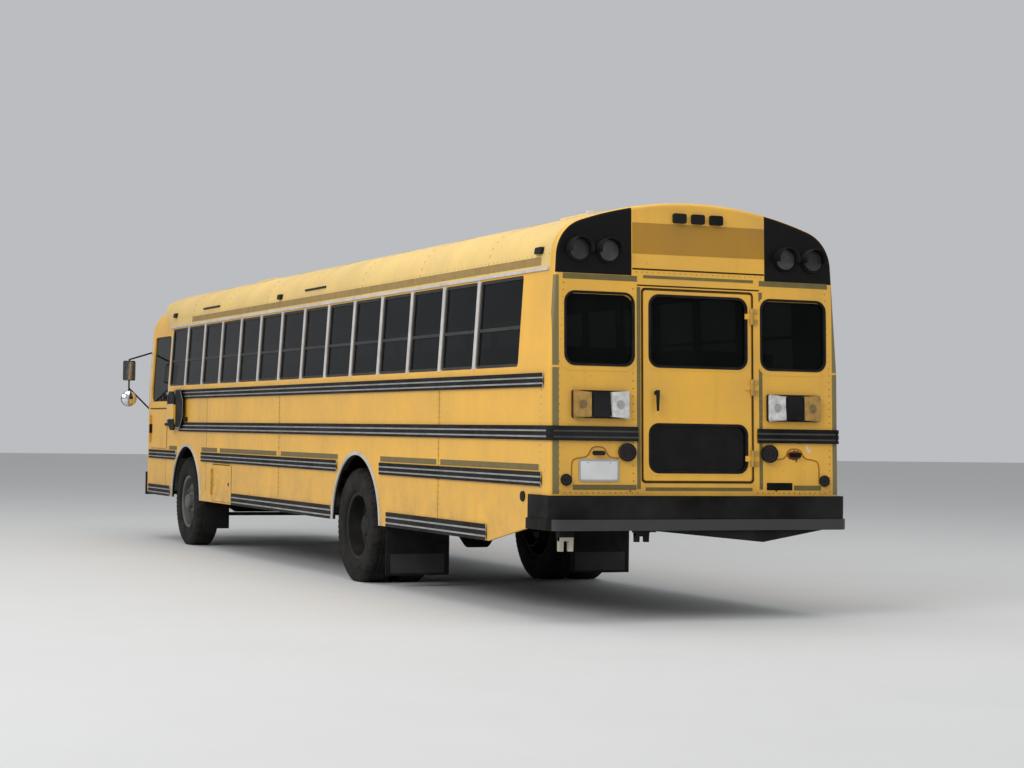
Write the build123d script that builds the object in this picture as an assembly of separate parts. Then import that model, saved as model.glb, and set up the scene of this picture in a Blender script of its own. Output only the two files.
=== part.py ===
from build123d import *
import math
import os

# A forty-foot flat-nosed school bus, parked on its wheels with every door closed.
# Lengths are millimetres: X runs forward, Y to the bus's left, Z up from the ground.
# Stations along X are measured from the rear wall. They are shifted when a piece is
# saved, so that the origin lies on the ground under the middle of the whole bus.

# Body shell
body_length = 12080
half_width = 1205
wall = 50
skirt_thickness = 25
floor_top = 1030
floor_thickness = 45
skirt_bottom = 533
belt_height = 1831
wall_lean = 0.059
eaves_height = 2560
roof_top = 3076
crown_radius = 2900
shoulder_radius = 300
rake_height = 925
rear_rake = 0.038
front_rake = 0.006
rear_corner = 30
front_corner = 40
rear_post = 75
front_post = 95
rear_panel_bottom = 905
cap_station = 11166
cap_peak = (11700, 2850)
cap_drop = 120
cap_lap = 60
visor_height = 2480
nose_bottom = 560
tail_rise = ((1135, 528), (350, 672), (-60, 747))

# Small clearances
seat_gap = 0.3
door_gap = 5
fit_gap = 0.05

# Side windows: one bay between each pair of pillars
pillar_pitch = 738.2
pillar_width = 60
first_pillar = 10316
pillar_count = 13
front_bay_end = 11065
rear_bay_end = 569
window_bottom = 1846
window_top = 2524
window_corner = 30
sash_height = 2140
sash_bar = 26
sash_frame = 24
sash_inset = 8
sash_depth = 26
glass_inset = 17
glass_thickness = 6
pillar_proud = 4
drip_height = 22
drip_proud = 14
drip_ends = (145, 11166)
driver_window = (11100, 11900, 1665, 2452)

# Rub rails: bottom and top height, with the stretches that each covers
rail_proud = 16
rail_groove = 5
rail_bands = {"window": (1691, 1793), "seat": (1308, 1414), "floor": (976, 1079), "skirt": (534, 657)}
rail_stretches = {
    "window": ((120, 10718),),
    "seat": ((-60, 10501),),
    "floor": ((130, 3557), (4722, 9489), (10642, 10980)),
    "skirt": ((1140, 3361), (4870, 8218), (10900, 10980)),
}
left_only_stretches = {"floor": (10980, 11950), "skirt": (10980, 11950)}
rear_rail_inner = 499

# Wheels, tyres and arches
rear_axle_station = 4257
front_axle_station = 10240
axle_height = 500
tyre_radius = 515
tyre_width = 279
bead_radius = 286
front_wheel_y = 1040
rear_wheel_y = 1050
dual_spacing = 330
rim_width = 226
rim_flange = 300
rim_wall = 12
drum_radius = 200
hub_bore = 40
hand_hole = 26
hand_hole_circle = 205
hand_hole_count = 10
arch_radius = 640
arch_setback = 70
arch_trim_width = 32
arch_trim_proud = 12
kingpin_y = 820
kingpin_radius = 22
kingpin_half = 125
steering_arm = 180
tie_rod_height = 374
tie_rod_radius = 20

# Chassis
rail_half_width = 432
rail_depth = 255
rail_flange = 76
rail_plate = 10
crossmember_height = 80
crossmember_width = 60
crossmember_stations = (60, 1300, 2500, 3350, 5150, 6300, 7340, 8400, 9500, 12000)
frame_ends = (-25, 12080)
spring_width = 76
spring_y = 394
engine_block = (10800, 11950, -330, 330, 600, 1420)
cover_half = 420
cover_station = 10700
cover_top = 1560
cover_wall = 20
fuel_tank_box = (6350, 7950, -1120, -470, 420, 860)
battery_bay = (8300, 9030, 551, 968)

# Rear emergency door and rear windows
rear_door_half = 450
rear_door_bottom = 1024
rear_door_top = 2414
rear_door_thickness = 32
rear_door_panes = ((416, 1855, 2374), (414, 1083, 1442))
rear_window_span = (528, 1107)
rear_window_heights = (1853, 2370)
rear_window_corner = 88

# Entrance door, two leaves that swing out
doorway = (11045, 11865)
doorway_bottom = 440
doorway_top = 2440
leaf_thickness = 30
leaf_rail = 62
leaf_gap = 24
step_heights = (440, 735)
step_depth = 230
step_plate = 12
wheelhouse_half = 670
wheelhouse_top = 1165
wheelhouses = {rear_axle_station: 530, front_axle_station: 520}

# Engine access door, stop arm and roof hatches
engine_door = (11170, 11900, 1100, 1570)
panel_door_thickness = 20
stop_arm_across = 457
stop_arm_centre = (10425, 1575)
stop_arm_axis = 10880
stop_arm_stand = 42
stop_arm_plate = 8
hatch_stations = {"rear": 1500, "front": 10050}
hatch_opening = 560
hatch_collar = 24
hatch_collar_rise = 8
hatch_lid_size = 640
hatch_lid_rise = 25
hatch_panel_half = 350
hatch_axis_rise = 15
hatch_barrel = 8
hatch_pin = 4

# Hinges
hinge_barrel = 12
hinge_pin = 6
hinge_stand = 13
hinge_strap = 6
hinge_reach = 55

# Bumpers
bumper_band = (665, 915)
bumper_proud = 90
bumper_half_width = 1225
bumper_wrap = 335
bumper_plate = 10
bumper_flange = 60
bumper_lip = 14
bumper_lip_top = 745
bumper_corner = 80
front_bumper_band = (520, 800)
front_bumper_face = 12170
skid_points = ((430, 664), (-505, 575), (-1020, 664))

# Mirrors
mirror_arm = (12130, 1440)
mirror_tube = 10
flat_mirror = (1925, 2170)
flat_mirror_half = 75
crossview_radius = 95
crossview_curve = 165
crossview_height = 1700

# Seats
row_count = 13
first_row = 1010
row_pitch = 713
bench_inner = 165
bench_outer = 1135
bench_depth = 400
cushion_height = 1420
cushion_thickness = 120
back_height = 2030
back_thickness = 80
seat_tube = 30


def block(x0, x1, y0, y1, z0, z1):
    return Pos((x0 + x1) / 2, (y0 + y1) / 2, (z0 + z1) / 2) * Box(x1 - x0, y1 - y0, z1 - z0)


def outline(points):
    return make_face(Polyline(*points, close=True))


def window_outline(u0, u1, v0, v1, corner):
    return Pos((u0 + u1) / 2, (v0 + v1) / 2) * RectangleRounded(u1 - u0, v1 - v0, corner)


def across(face, y0, y1):
    # an outline in X and Z, made solid from y0 to y1
    return extrude(Plane.XZ * Pos(0, 0, -y1) * face, amount=y1 - y0)


def along(face, x0, x1):
    # an outline in Y and Z, made solid from x0 to x1
    return extrude(Plane.YZ * Pos(0, 0, x0) * face, amount=x1 - x0)


def upright(face, z0, z1):
    # an outline in X and Y, made solid from z0 to z1
    return extrude(Pos(0, 0, z0) * face, amount=z1 - z0)


def both_sides(*shapes):
    return list(shapes) + [mirror(shape, about=Plane.XZ) for shape in shapes]


def tube_y(radius, x, z, y0, y1):
    return Pos(x, (y0 + y1) / 2, z) * Rot(90, 0, 0) * Cylinder(radius, y1 - y0)


def tube_z(radius, x, y, z0, z1):
    return Pos(x, y, (z0 + z1) / 2) * Cylinder(radius, z1 - z0)


def tube_x(radius, y, z, x0, x1):
    return Pos((x0 + x1) / 2, y, z) * Rot(0, 90, 0) * Cylinder(radius, x1 - x0)


front_reach = front_bumper_face
middle_station = (front_reach - bumper_proud - bumper_lip) / 2


def save(name, *shapes):
    solids = [solid for shape in shapes for solid in shape.solids()]
    moved = [Pos(-middle_station, 0, 0) * solid for solid in solids]
    whole = moved[0] if len(moved) == 1 else Compound(children=moved)
    export_step(whole, "parts/" + name + ".step")


def body_section(inset, low):
    # half of the outline is worked out from the tangent circles, and then mirrored
    slant = math.hypot(1, wall_lean)
    crown_centre = roof_top - crown_radius
    base = half_width - shoulder_radius * slant
    rise = belt_height - crown_centre
    reach = crown_radius - shoulder_radius
    b = rise - wall_lean * base
    c = base ** 2 + rise ** 2 - reach ** 2
    climb = (math.sqrt(b ** 2 - slant ** 2 * c) - b) / slant ** 2
    centre_y = base - wall_lean * climb
    centre_z = belt_height + climb
    radius = shoulder_radius - inset
    toward_y = centre_y / reach
    toward_z = (centre_z - crown_centre) / reach
    middle_y = toward_y + 1 / slant
    middle_z = toward_z + wall_lean / slant
    middle_length = math.hypot(middle_y, middle_z)
    kink = belt_height - inset * (slant - 1) / wall_lean
    right = [
        (half_width - inset, low),
        (half_width - inset, kink),
        (centre_y + radius / slant, centre_z + radius * wall_lean / slant),
        (centre_y + radius * middle_y / middle_length, centre_z + radius * middle_z / middle_length),
        (centre_y + radius * toward_y, centre_z + radius * toward_z),
    ]
    left = [(-y, z) for y, z in right]
    edges = [
        Line(right[0], right[1]),
        Line(right[1], right[2]),
        ThreePointArc(right[2], right[3], right[4]),
        ThreePointArc(right[4], (0, roof_top - inset), left[4]),
        ThreePointArc(left[4], left[3], left[2]),
        Line(left[2], left[1]),
        Line(left[1], left[0]),
        Line(left[0], right[0]),
    ]
    return make_face(edges)


def rear_at(z, inset=0):
    return rear_rake * (z - rake_height) + inset


def front_at(z, inset=0):
    return body_length - front_rake * (z - rake_height) - inset


def body_volume(inset, low=skirt_bottom, rounded=False):
    # the solid whose faces lie the inset inside the skin; a negative inset is outside it
    high = roof_top + wall
    side = outline(
        (
            (rear_at(low, inset), low),
            (rear_at(high, inset), high),
            (front_at(high, inset), high),
            (front_at(low, inset), low),
        )
    )
    volume = along(body_section(inset, low), -wall * 4, body_length + wall * 4)
    volume = volume & across(side, -half_width - wall, half_width + wall)
    if rounded:
        for end, corner in ((0, rear_corner), (-1, front_corner)):
            face = volume.faces().sort_by(Axis.X)[end]
            edges = [edge for edge in face.edges() if edge.center().Z > low + 1]
            volume = fillet(edges, corner - inset)
    return volume


def raked_slab(depth0, depth1, z0, z1, y0, y1):
    # what lies between two depths behind the raked rear wall
    side = outline(
        ((rear_at(z0, depth0), z0), (rear_at(z1, depth0), z1),
         (rear_at(z1, depth1), z1), (rear_at(z0, depth1), z0))
    )
    return across(side, y0, y1)


def nose_slab(depth0, depth1, z0, z1, y0, y1):
    # what lies between two depths behind the raked front wall
    side = outline(
        ((front_at(z0, depth0), z0), (front_at(z1, depth0), z1),
         (front_at(z1, depth1), z1), (front_at(z0, depth1), z0))
    )
    return across(side, y0, y1)


def hinge(origin, into, out, length):
    # fixed knuckles with a pin, and the barrel between them, for a door to one side
    third = length / 3
    gap = 1
    pin = Cylinder(hinge_pin, length)
    fixed = pin
    for side in (-1, 1):
        height = third - gap
        knuckle = Pos(0, 0, side * (third / 2 + gap + height / 2)) * Cylinder(hinge_barrel, height)
        strap = block(
            -hinge_reach, 0, -hinge_stand, -hinge_stand + hinge_strap, -height / 2, height / 2
        )
        fixed = fixed + knuckle + Pos(0, 0, side * (third / 2 + gap + height / 2)) * strap
    moving = Cylinder(hinge_barrel, third)
    moving = moving + block(0, hinge_reach, -hinge_stand, -hinge_stand + hinge_strap, -third / 2, third / 2)
    moving = moving - Cylinder(hinge_pin + fit_gap, length)
    place = Plane(origin=origin, x_dir=into, z_dir=Vector(*into).cross(Vector(*out)))
    return place * fixed, place * moving


# The rounded skin, its hollow, and grown copies that the trim is cut from
skin = body_volume(0, rounded=True)
cavity = body_volume(wall)
floor_bottom = floor_top - floor_thickness
under_floor = body_volume(skirt_thickness, low=skirt_bottom - 1) & block(
    -100, body_length + 100, -half_width, half_width, 0, floor_bottom
)
shell = skin - cavity - under_floor
trim_seat = body_volume(-seat_gap, rounded=True)


def window_bays():
    posts = [front_bay_end] + [first_pillar - i * pillar_pitch for i in range(pillar_count)] + [rear_bay_end]
    return [(posts[i + 1], posts[i]) for i in range(len(posts) - 1)]


def side_openings(shrink):
    # the windows of one side, smaller all round by the shrink
    return [
        window_outline(
            low + pillar_width / 2 + shrink,
            high - pillar_width / 2 - shrink,
            window_bottom + shrink,
            window_top - shrink,
            window_corner - shrink if shrink < window_corner - 5 else 5,
        )
        for low, high in window_bays()
    ]


def arch_cuts():
    return [
        tube_y(arch_radius, station - arch_setback, axle_height, -half_width - 50, half_width + 50)
        for station in (rear_axle_station, front_axle_station)
    ]


def tail_cut():
    points = list(tail_rise) + [(tail_rise[-1][0], skirt_bottom - 50), (tail_rise[0][0], skirt_bottom - 50)]
    return across(outline(points), -half_width - 50, half_width + 50)


def wall_band(side):
    # the side wall between the rear post and the nose, up to the eaves or the visor
    y0, y1 = (0, half_width + wall) if side > 0 else (-half_width - wall, 0)
    low = skirt_bottom - 10
    rear_part = outline(
        ((rear_at(low, rear_post), low), (rear_at(eaves_height, rear_post), eaves_height),
         (cap_station, eaves_height), (cap_station, visor_height),
         (front_at(visor_height, front_post), visor_height), (front_at(low, front_post), low))
    )
    return across(rear_part, y0, y1)


def side_wall(side):
    piece = shell & wall_band(side)
    reach = (0, half_width + wall) if side > 0 else (-half_width - wall, 0)
    for face in side_openings(0):
        piece = piece - across(face, *reach)
    for cut in arch_cuts() + [tail_cut()]:
        piece = piece - cut
    return piece


def door_cut(box, corner=20, gap=0):
    x0, x1, z0, z1 = box
    return window_outline(x0 - gap, x1 + gap, z0 - gap, z1 + gap, corner)


def outer_panel(face, side, depth, inset=0):
    # a panel flush with the skin, as deep as given, within an outline in X and Z
    y0, y1 = (half_width / 2, half_width + wall) if side > 0 else (-half_width - wall, -half_width / 2)
    return (body_volume(inset) - body_volume(inset + depth)) & across(face, y0, y1)


def build_left_wall():
    piece = side_wall(1)
    piece = piece - across(door_cut(driver_window, 60), 0, half_width + wall)
    battery_box = (battery_bay[0], battery_bay[1], battery_bay[2], battery_bay[3])
    for box in (battery_box, engine_door):
        piece = piece - across(door_cut(box, 12, door_gap), half_width - wall * 2, half_width + wall)
    hinges = {}
    for name, box in (("battery_door", battery_box), ("engine_door", engine_door)):
        middle = (box[2] + box[3]) / 2
        origin = (box[1] + door_gap / 2, half_width + hinge_stand, middle)
        fixed, moving = hinge(origin, (-1, 0, 0), (0, 1, 0), (box[3] - box[2]) * 0.7)
        piece = piece + fixed
        hinges[name] = moving
    save("left_wall", piece)
    for name, box in (("battery_door", battery_box), ("engine_door", engine_door)):
        panel = outer_panel(door_cut(box, 12), 1, panel_door_thickness)
        save(name, panel + hinges[name])


def build_right_wall():
    piece = side_wall(-1)
    x0, x1 = doorway
    opening = door_cut((x0, x1, skirt_bottom - 200, doorway_top), 10)
    piece = piece - across(opening, -half_width - wall, 0)
    leaves = {}
    middle = (x0 + x1) / 2
    leaf_bottom = doorway_bottom - 20
    spans = {
        "entrance_leaf_rear": (x0 + door_gap, middle - leaf_gap / 2, x0 + door_gap / 2, (1, 0, 0)),
        "entrance_leaf_front": (middle + leaf_gap / 2, x1 - door_gap, x1 - door_gap / 2, (-1, 0, 0)),
    }
    for name, (low, high, axis_x, into) in spans.items():
        origin = (axis_x, -half_width - hinge_stand, (skirt_bottom + belt_height) / 2)
        fixed, moving = hinge(origin, into, (0, -1, 0), 900)
        piece = piece + fixed
        frame = outline(((low, leaf_bottom), (high, leaf_bottom), (high, doorway_top - door_gap),
                         (low, doorway_top - door_gap)))
        leaf = (body_volume(0, low=leaf_bottom - 1) - body_volume(leaf_thickness, low=leaf_bottom - 2))
        leaf = leaf & across(frame, -half_width - wall, -half_width / 2)
        panes = ((low + leaf_rail, high - leaf_rail, leaf_bottom + 150, 1330),
                 (low + leaf_rail, high - leaf_rail, 1330 + leaf_rail, doorway_top - leaf_rail))
        glass = []
        for pane in panes:
            leaf = leaf - across(window_outline(*pane, 40), -half_width - wall, -half_width / 2)
            light = (body_volume(glass_inset, low=leaf_bottom - 1)
                     - body_volume(glass_inset + glass_thickness, low=leaf_bottom - 2))
            small = (pane[0] + seat_gap, pane[1] - seat_gap, pane[2] + seat_gap, pane[3] - seat_gap)
            glass.append(light & across(window_outline(*small, 40), -half_width - wall, -half_width / 2))
        leaves[name] = [leaf + moving] + glass
    save("right_wall", piece)
    for name, shapes in leaves.items():
        save(name, *shapes)


def hatch_lid(station):
    # a lid that laps over the collar, with the middle barrel of its hinge
    half = hatch_lid_size / 2
    axis_x = station + half + hatch_barrel + 3
    axis_z = roof_top + hatch_axis_rise
    top = roof_top + hatch_lid_rise
    lid = block(station - half, station + half, -half, half, roof_top + door_gap, top)
    lid = chamfer(lid.edges().group_by(Axis.Z)[-1], 12)
    inside = half - 3
    lid = lid - block(station - inside, station + inside, -inside, inside,
                      roof_top, roof_top + hatch_collar_rise + seat_gap)
    barrel = tube_y(hatch_barrel, axis_x, axis_z, -75, 75)
    barrel = barrel + block(station + half - 10, axis_x, -75, 75, axis_z + 1, axis_z + 7)
    return lid + (barrel - tube_y(hatch_pin + fit_gap, axis_x, axis_z, -80, 80))


def hatch_panel(station):
    # the roof bay that carries a hatch: its hole, collar, hinge pin and knuckles
    panel = roof_band(station - hatch_panel_half + seat_gap, station + hatch_panel_half - seat_gap)
    half = hatch_opening / 2
    rim = half + hatch_collar
    panel = panel + block(station - rim, station + rim, -rim, rim, roof_top - wall, roof_top + hatch_collar_rise)
    panel = panel - block(station - half, station + half, -half, half, roof_top - wall * 3, roof_top + wall)
    axis_x = station + hatch_lid_size / 2 + hatch_barrel + 3
    axis_z = roof_top + hatch_axis_rise
    panel = panel + tube_y(hatch_pin, axis_x, axis_z, -150, 150)
    for side in (-1, 1):
        y0, y1 = 110 * side - 30, 110 * side + 30
        panel = panel + tube_y(hatch_barrel, axis_x, axis_z, y0, y1)
        foot_end = station + hatch_panel_half - seat_gap
        panel = panel + block(axis_x - hatch_barrel, foot_end, y0, y1, roof_top - wall / 2, axis_z - 4)
    return panel


def roof_band(x0, x1):
    return shell & block(x0, x1, -half_width, half_width, eaves_height, roof_top + wall)


def build_roof():
    # plain roof sheets between the two bays that carry hatches
    peak_x, peak_z = cap_peak
    high = roof_top + wall
    front_cut = outline(
        ((rear_at(eaves_height, rear_post), eaves_height), (rear_at(high, rear_post), high),
         (peak_x, high), (peak_x, peak_z), (cap_station, eaves_height))
    )
    band = across(front_cut, -half_width, half_width)
    piece = shell & band
    # the roof's front end closes down on the lower cap
    lap = outline(
        ((cap_station - cap_lap, eaves_height), (cap_station, eaves_height), (peak_x, peak_z), (peak_x, high),
         (peak_x - cap_lap, high), (peak_x - cap_lap, peak_z))
    )
    piece = piece + ((skin - Pos(0, 0, -cap_drop) * cavity) & across(lap, -half_width, half_width))
    panels = []
    for name, station in hatch_stations.items():
        piece = piece - block(station - hatch_panel_half, station + hatch_panel_half, -half_width, half_width,
                              eaves_height - 1, high)
        panels.append(hatch_panel(station))
        save("roof_hatch_" + name, hatch_lid(station))
    save("roof", piece)
    save("hatch_panels", *panels)


def build_rear_wall():
    reach = half_width + 50
    slab = raked_slab(-wall, rear_post - seat_gap, rear_panel_bottom, roof_top + 60, -reach, reach)
    piece = shell & slab
    gap = door_gap
    doorway_face = window_outline(-rear_door_half - gap, rear_door_half + gap,
                                  rear_door_bottom - gap, rear_door_top + gap, 25)
    piece = piece - along(doorway_face, -200, 300)
    y0, y1 = rear_window_span
    z0, z1 = rear_window_heights
    for side in (-1, 1):
        low, high = sorted((side * y0, side * y1))
        piece = piece - along(window_outline(low, high, z0, z1, rear_window_corner), -200, 300)
        piece = piece - Pos(0, side * plate_centre_y, plate_centre_z) * plate_holes()
    lean = math.atan(rear_rake)
    out = (-math.cos(lean), 0, math.sin(lean))
    moving_parts = []
    for height in (1190, 1720, 2250):
        origin = Vector(rear_at(height), -rear_door_half - gap / 2, height) + Vector(*out) * hinge_stand
        fixed, moving = hinge(tuple(origin), (0, 1, 0), out, 120)
        piece = piece + fixed
        moving_parts.append(moving)
    save("rear_wall", piece)
    door_face = window_outline(-rear_door_half, rear_door_half, rear_door_bottom, rear_door_top, 20)
    door = (skin - body_volume(rear_door_thickness)) & along(door_face, -100, 300)
    panes = []
    for pane_half, low, high in rear_door_panes:
        door = door - along(window_outline(-pane_half, pane_half, low, high, 82), -200, 300)
        light = body_volume(glass_inset) - body_volume(glass_inset + glass_thickness)
        small = window_outline(-pane_half + seat_gap, pane_half - seat_gap, low + seat_gap, high - seat_gap, 82)
        panes.append(light & along(small, -100, 300))
    for moving in moving_parts:
        door = door + moving
    lever = outline(((336, 1684), (364, 1684), (357, 1531), (343, 1531)))
    handle = slice_of(-42, -30) & along(lever, -200, 300)
    boss = slice_of(-31, 1) & along(Pos(350, 1664) * Circle(15), -200, 300)
    save("emergency_door", door + handle + boss, *panes)


plate_centre_y = 813
plate_centre_z = 1095
plate_bolt_spacing = 177.8
plate_bolt_radius = 3.5


def plate_holes():
    holes = [
        tube_x(plate_bolt_radius, side * plate_bolt_spacing / 2, 0, -100, 200) for side in (-1, 1)
    ]
    return holes[0] + holes[1]


def build_front():
    low, high = nose_bottom, visor_height - seat_gap
    band = nose_slab(-wall, front_post - seat_gap, low, high, -half_width - 50, half_width + 50)
    piece = shell & band
    for side in (-1, 1):
        y0, y1 = sorted((side * 42, side * 1062))
        piece = piece - along(window_outline(y0, y1, 1500, 2410, 90), body_length - 300, body_length + 300)
    piece = piece - along(window_outline(-470, 470, 930, 1340, 30), body_length - 300, body_length + 300)
    # the frame rails come through the lower panel
    piece = piece - block(body_length - 200, body_length + 100, -rail_half_width - 8, rail_half_width + 8,
                          nose_bottom - 1, floor_bottom - crossmember_height + 8)
    save("front_face", piece)
    # the cap is lower than the roof, and laps under its slanted front end
    peak_x, peak_z = cap_peak
    high = roof_top + wall
    cap_side = outline(
        ((cap_station + seat_gap, visor_height), (cap_station + seat_gap, eaves_height),
         (peak_x + seat_gap, peak_z), (peak_x + seat_gap, high), (body_length + wall, high),
         (body_length + wall, visor_height))
    )
    lowered = Pos(0, 0, -cap_drop) * skin
    cap = (skin & lowered) - Pos(0, 0, -cap_drop) * cavity
    save("front_cap", cap & across(cap_side, -half_width - wall, half_width + wall))
    # horizontal bars in a surrounding frame
    frame = body_volume(6) - body_volume(30)
    opening = window_outline(-470 + seat_gap, 470 - seat_gap, 930 + seat_gap, 1340 - seat_gap, 30)
    inner = window_outline(-445, 445, 955, 1315, 12)
    near = (body_length - 300, body_length + 300)
    grille = (frame & along(opening, *near)) - along(inner, *near)
    bar_count = 8
    pitch = 360 / bar_count
    for i in range(1, bar_count):
        height = 955 + i * pitch
        bar = outline(((front_at(height, 8), height + 6), (front_at(height, 30), height + 14),
                       (front_at(height, 30), height + 8), (front_at(height, 8), height - 6)))
        grille = grille + across(bar, -446, 446)
    grille = grille + nose_slab(12, 28, 954, 1316, -10, 10)
    save("grille", grille)


def build_glass():
    panes = []
    light = body_volume(glass_inset) - body_volume(glass_inset + glass_thickness)
    inset = sash_frame + seat_gap * 2
    for face in side_openings(inset):
        for y0, y1 in ((half_width / 2, half_width + wall), (-half_width - wall, -half_width / 2)):
            pane = light & across(face, y0, y1)
            bar = block(0, body_length, y0, y1, sash_height - sash_bar / 2 - seat_gap,
                        sash_height + sash_bar / 2 + seat_gap)
            panes += (pane - bar).solids()
    x0, x1, z0, z1 = driver_window
    face = door_cut((x0, x1, z0, z1), 60, -seat_gap)
    panes += (light & across(face, half_width / 2, half_width + wall)).solids()
    y0, y1 = rear_window_span
    low, high = rear_window_heights
    for side in (-1, 1):
        a, b = sorted((side * (y0 + seat_gap), side * (y1 - seat_gap)))
        face = window_outline(a, b, low + seat_gap, high - seat_gap, rear_window_corner)
        panes += (light & along(face, -100, 300)).solids()
        a, b = sorted((side * (42 + seat_gap), side * (1062 - seat_gap)))
        face = window_outline(a, b, 1500 + seat_gap, 2410 - seat_gap, 90)
        panes += (light & along(face, body_length - 300, body_length + 300)).solids()
    save("window_glass", *panes)


def build_window_frames():
    ring = body_volume(sash_inset) - body_volume(sash_inset + sash_depth)
    frames = []
    outer_faces = side_openings(seat_gap)
    inner_faces = side_openings(sash_frame)
    for outer, inner, (low, high) in zip(outer_faces, inner_faces, window_bays()):
        bar_face = outline(
            ((low + pillar_width / 2 + 10, sash_height - sash_bar / 2),
             (high - pillar_width / 2 - 10, sash_height - sash_bar / 2),
             (high - pillar_width / 2 - 10, sash_height + sash_bar / 2),
             (low + pillar_width / 2 + 10, sash_height + sash_bar / 2))
        )
        for y0, y1 in ((half_width / 2, half_width + wall), (-half_width - wall, -half_width / 2)):
            frame = (ring & across(outer, y0, y1)) - across(inner, y0, y1)
            frames.append(frame + (ring & across(bar_face, y0, y1)))
    save("window_sashes", *frames)
    # pillar strips and the drip rail, proud of the wall
    strip = body_volume(-pillar_proud) - trim_seat
    rail = body_volume(-drip_proud) - trim_seat
    pieces = []
    posts = [first_pillar - i * pillar_pitch for i in range(pillar_count)]
    for y0, y1 in ((half_width / 2, half_width + wall), (-half_width - wall, -half_width / 2)):
        for post in posts:
            half = pillar_width / 2 - 2
            span = block(post - half, post + half, y0, y1, belt_height + 6, eaves_height - drip_height)
            pieces.append(strip & span)
        pieces.append(
            rail & block(drip_ends[0], drip_ends[1], y0, y1, eaves_height - drip_height + seat_gap, eaves_height)
        )
    save("window_pillars", *pieces)


def rail_section(band, grown, grooved):
    low, high = rail_bands[band]
    bands = block(-200, body_length + 200, -half_width - 60, half_width + 60, low, high)
    rail = (grown - trim_seat) & bands
    step = (high - low) / 5
    for i in (1, 3):
        groove = block(-200, body_length + 200, -half_width - 60, half_width + 60,
                       low + i * step, low + i * step + step * 0.6)
        rail = rail - ((grown - grooved) & groove)
    return rail


def build_rub_rails():
    grown = body_volume(-rail_proud, rounded=True)
    grooved = body_volume(-rail_proud + rail_groove, rounded=True)
    pieces = []
    for band, stretches in rail_stretches.items():
        rail = rail_section(band, grown, grooved)
        for x0, x1 in stretches:
            z0, z1 = rail_bands[band]
            for side in (1, -1):
                y0, y1 = sorted((side * rear_rail_inner, side * (half_width + 60)))
                end = x1
                if side > 0 and band in left_only_stretches and x1 == left_only_stretches[band][0]:
                    end = left_only_stretches[band][1]
                pieces.append(rail & block(x0, end, y0, y1, z0 - 1, z1 + 1))
    save("rub_rails", *pieces)


def build_arch_trims():
    trims = []
    for station in (rear_axle_station - arch_setback, front_axle_station - arch_setback):
        ring = tube_y(arch_radius + arch_trim_width - 4, station, axle_height,
                      half_width + seat_gap, half_width + arch_trim_proud)
        ring = ring - tube_y(arch_radius - 4, station, axle_height, half_width - 10, half_width + 50)
        ring = ring - block(station - 800, station + 800, 0, half_width + 50, -300, skirt_bottom)
        trims.append(ring)
    save("arch_trims", *both_sides(*trims))


def wheelhouse(station, inner_y, length, top):
    # an open-bottomed box over a wheel, against the side wall
    outer = block(station - length, station + length, inner_y, half_width - wall - seat_gap, floor_bottom, top)
    hollow = block(station - length + 8, station + length - 8, inner_y + 8, half_width,
                   floor_bottom - 1, top - 8)
    return outer, hollow


def build_floor():
    x0 = rear_at(floor_bottom, wall) + seat_gap + 3
    x1 = front_at(floor_top, wall) - seat_gap
    y = half_width - wall - seat_gap
    floor = block(x0, x1, -y, y, floor_bottom, floor_top)
    # crossmembers under the floor, one at each pillar
    for i in range(pillar_count + 1):
        station = rear_bay_end + 150 + i * pillar_pitch
        width = crossmember_width / 2
        reach = half_width - skirt_thickness - seat_gap
        floor = floor + block(station - width, station + width, -reach, reach,
                              floor_bottom - crossmember_height, floor_bottom)
    houses = []
    for station, inner in wheelhouses.items():
        outer, hollow = wheelhouse(station, inner, wheelhouse_half, wheelhouse_top)
        houses.append(outer - hollow)
        hole = block(station - wheelhouse_half - seat_gap, station + wheelhouse_half + seat_gap,
                     inner - seat_gap, half_width, 0, floor_top + 1)
        for cut in both_sides(hole):
            floor = floor - cut
    save("wheelhouses", *both_sides(*houses))
    # the engine stands in the opening under its cover
    floor = floor - block(cover_station + 60, front_at(floor_top, 60), -cover_half + 40, cover_half - 40,
                          0, floor_top + 1)
    # step well at the entrance
    sx0, sx1 = doorway[0] - 2, doorway[1] + 2
    depth = step_depth
    edge = -half_width + leaf_thickness + 8
    t = step_plate
    floor = floor - block(sx0 - t, sx1 + t, -half_width, edge + 2 * depth + seat_gap, 0, floor_bottom)
    floor = floor - block(sx0, sx1, -half_width, edge + 2 * depth + seat_gap, 0, floor_top + 1)
    save("floor", floor)
    low, high = step_heights
    steps = outline(
        ((edge, low - t), (edge, low), (edge + depth, low),
         (edge + depth, high), (edge + 2 * depth - t, high), (edge + 2 * depth - t, floor_top),
         (edge + 2 * depth, floor_top), (edge + 2 * depth, high - t),
         (edge + depth + t, high - t), (edge + depth + t, low - t))
    )
    well = along(steps, sx0 - t, sx1 + t)
    for x in (sx0 - t, sx1):
        cheek = outline(
            ((edge, low - t), (edge, floor_bottom - seat_gap), (edge + 2 * depth, floor_bottom - seat_gap),
             (edge + 2 * depth, high - t), (edge + depth + t, high - t), (edge + depth + t, low - t))
        )
        well = well + along(cheek, x, x + t)
    for x in (sx0 - t, sx1):
        well = well - block(x - 1, x + t + 1, edge - 1, edge + 2 * depth + 1,
                            floor_bottom - seat_gap, floor_top + 1)
    save("step_well", well)


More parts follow.
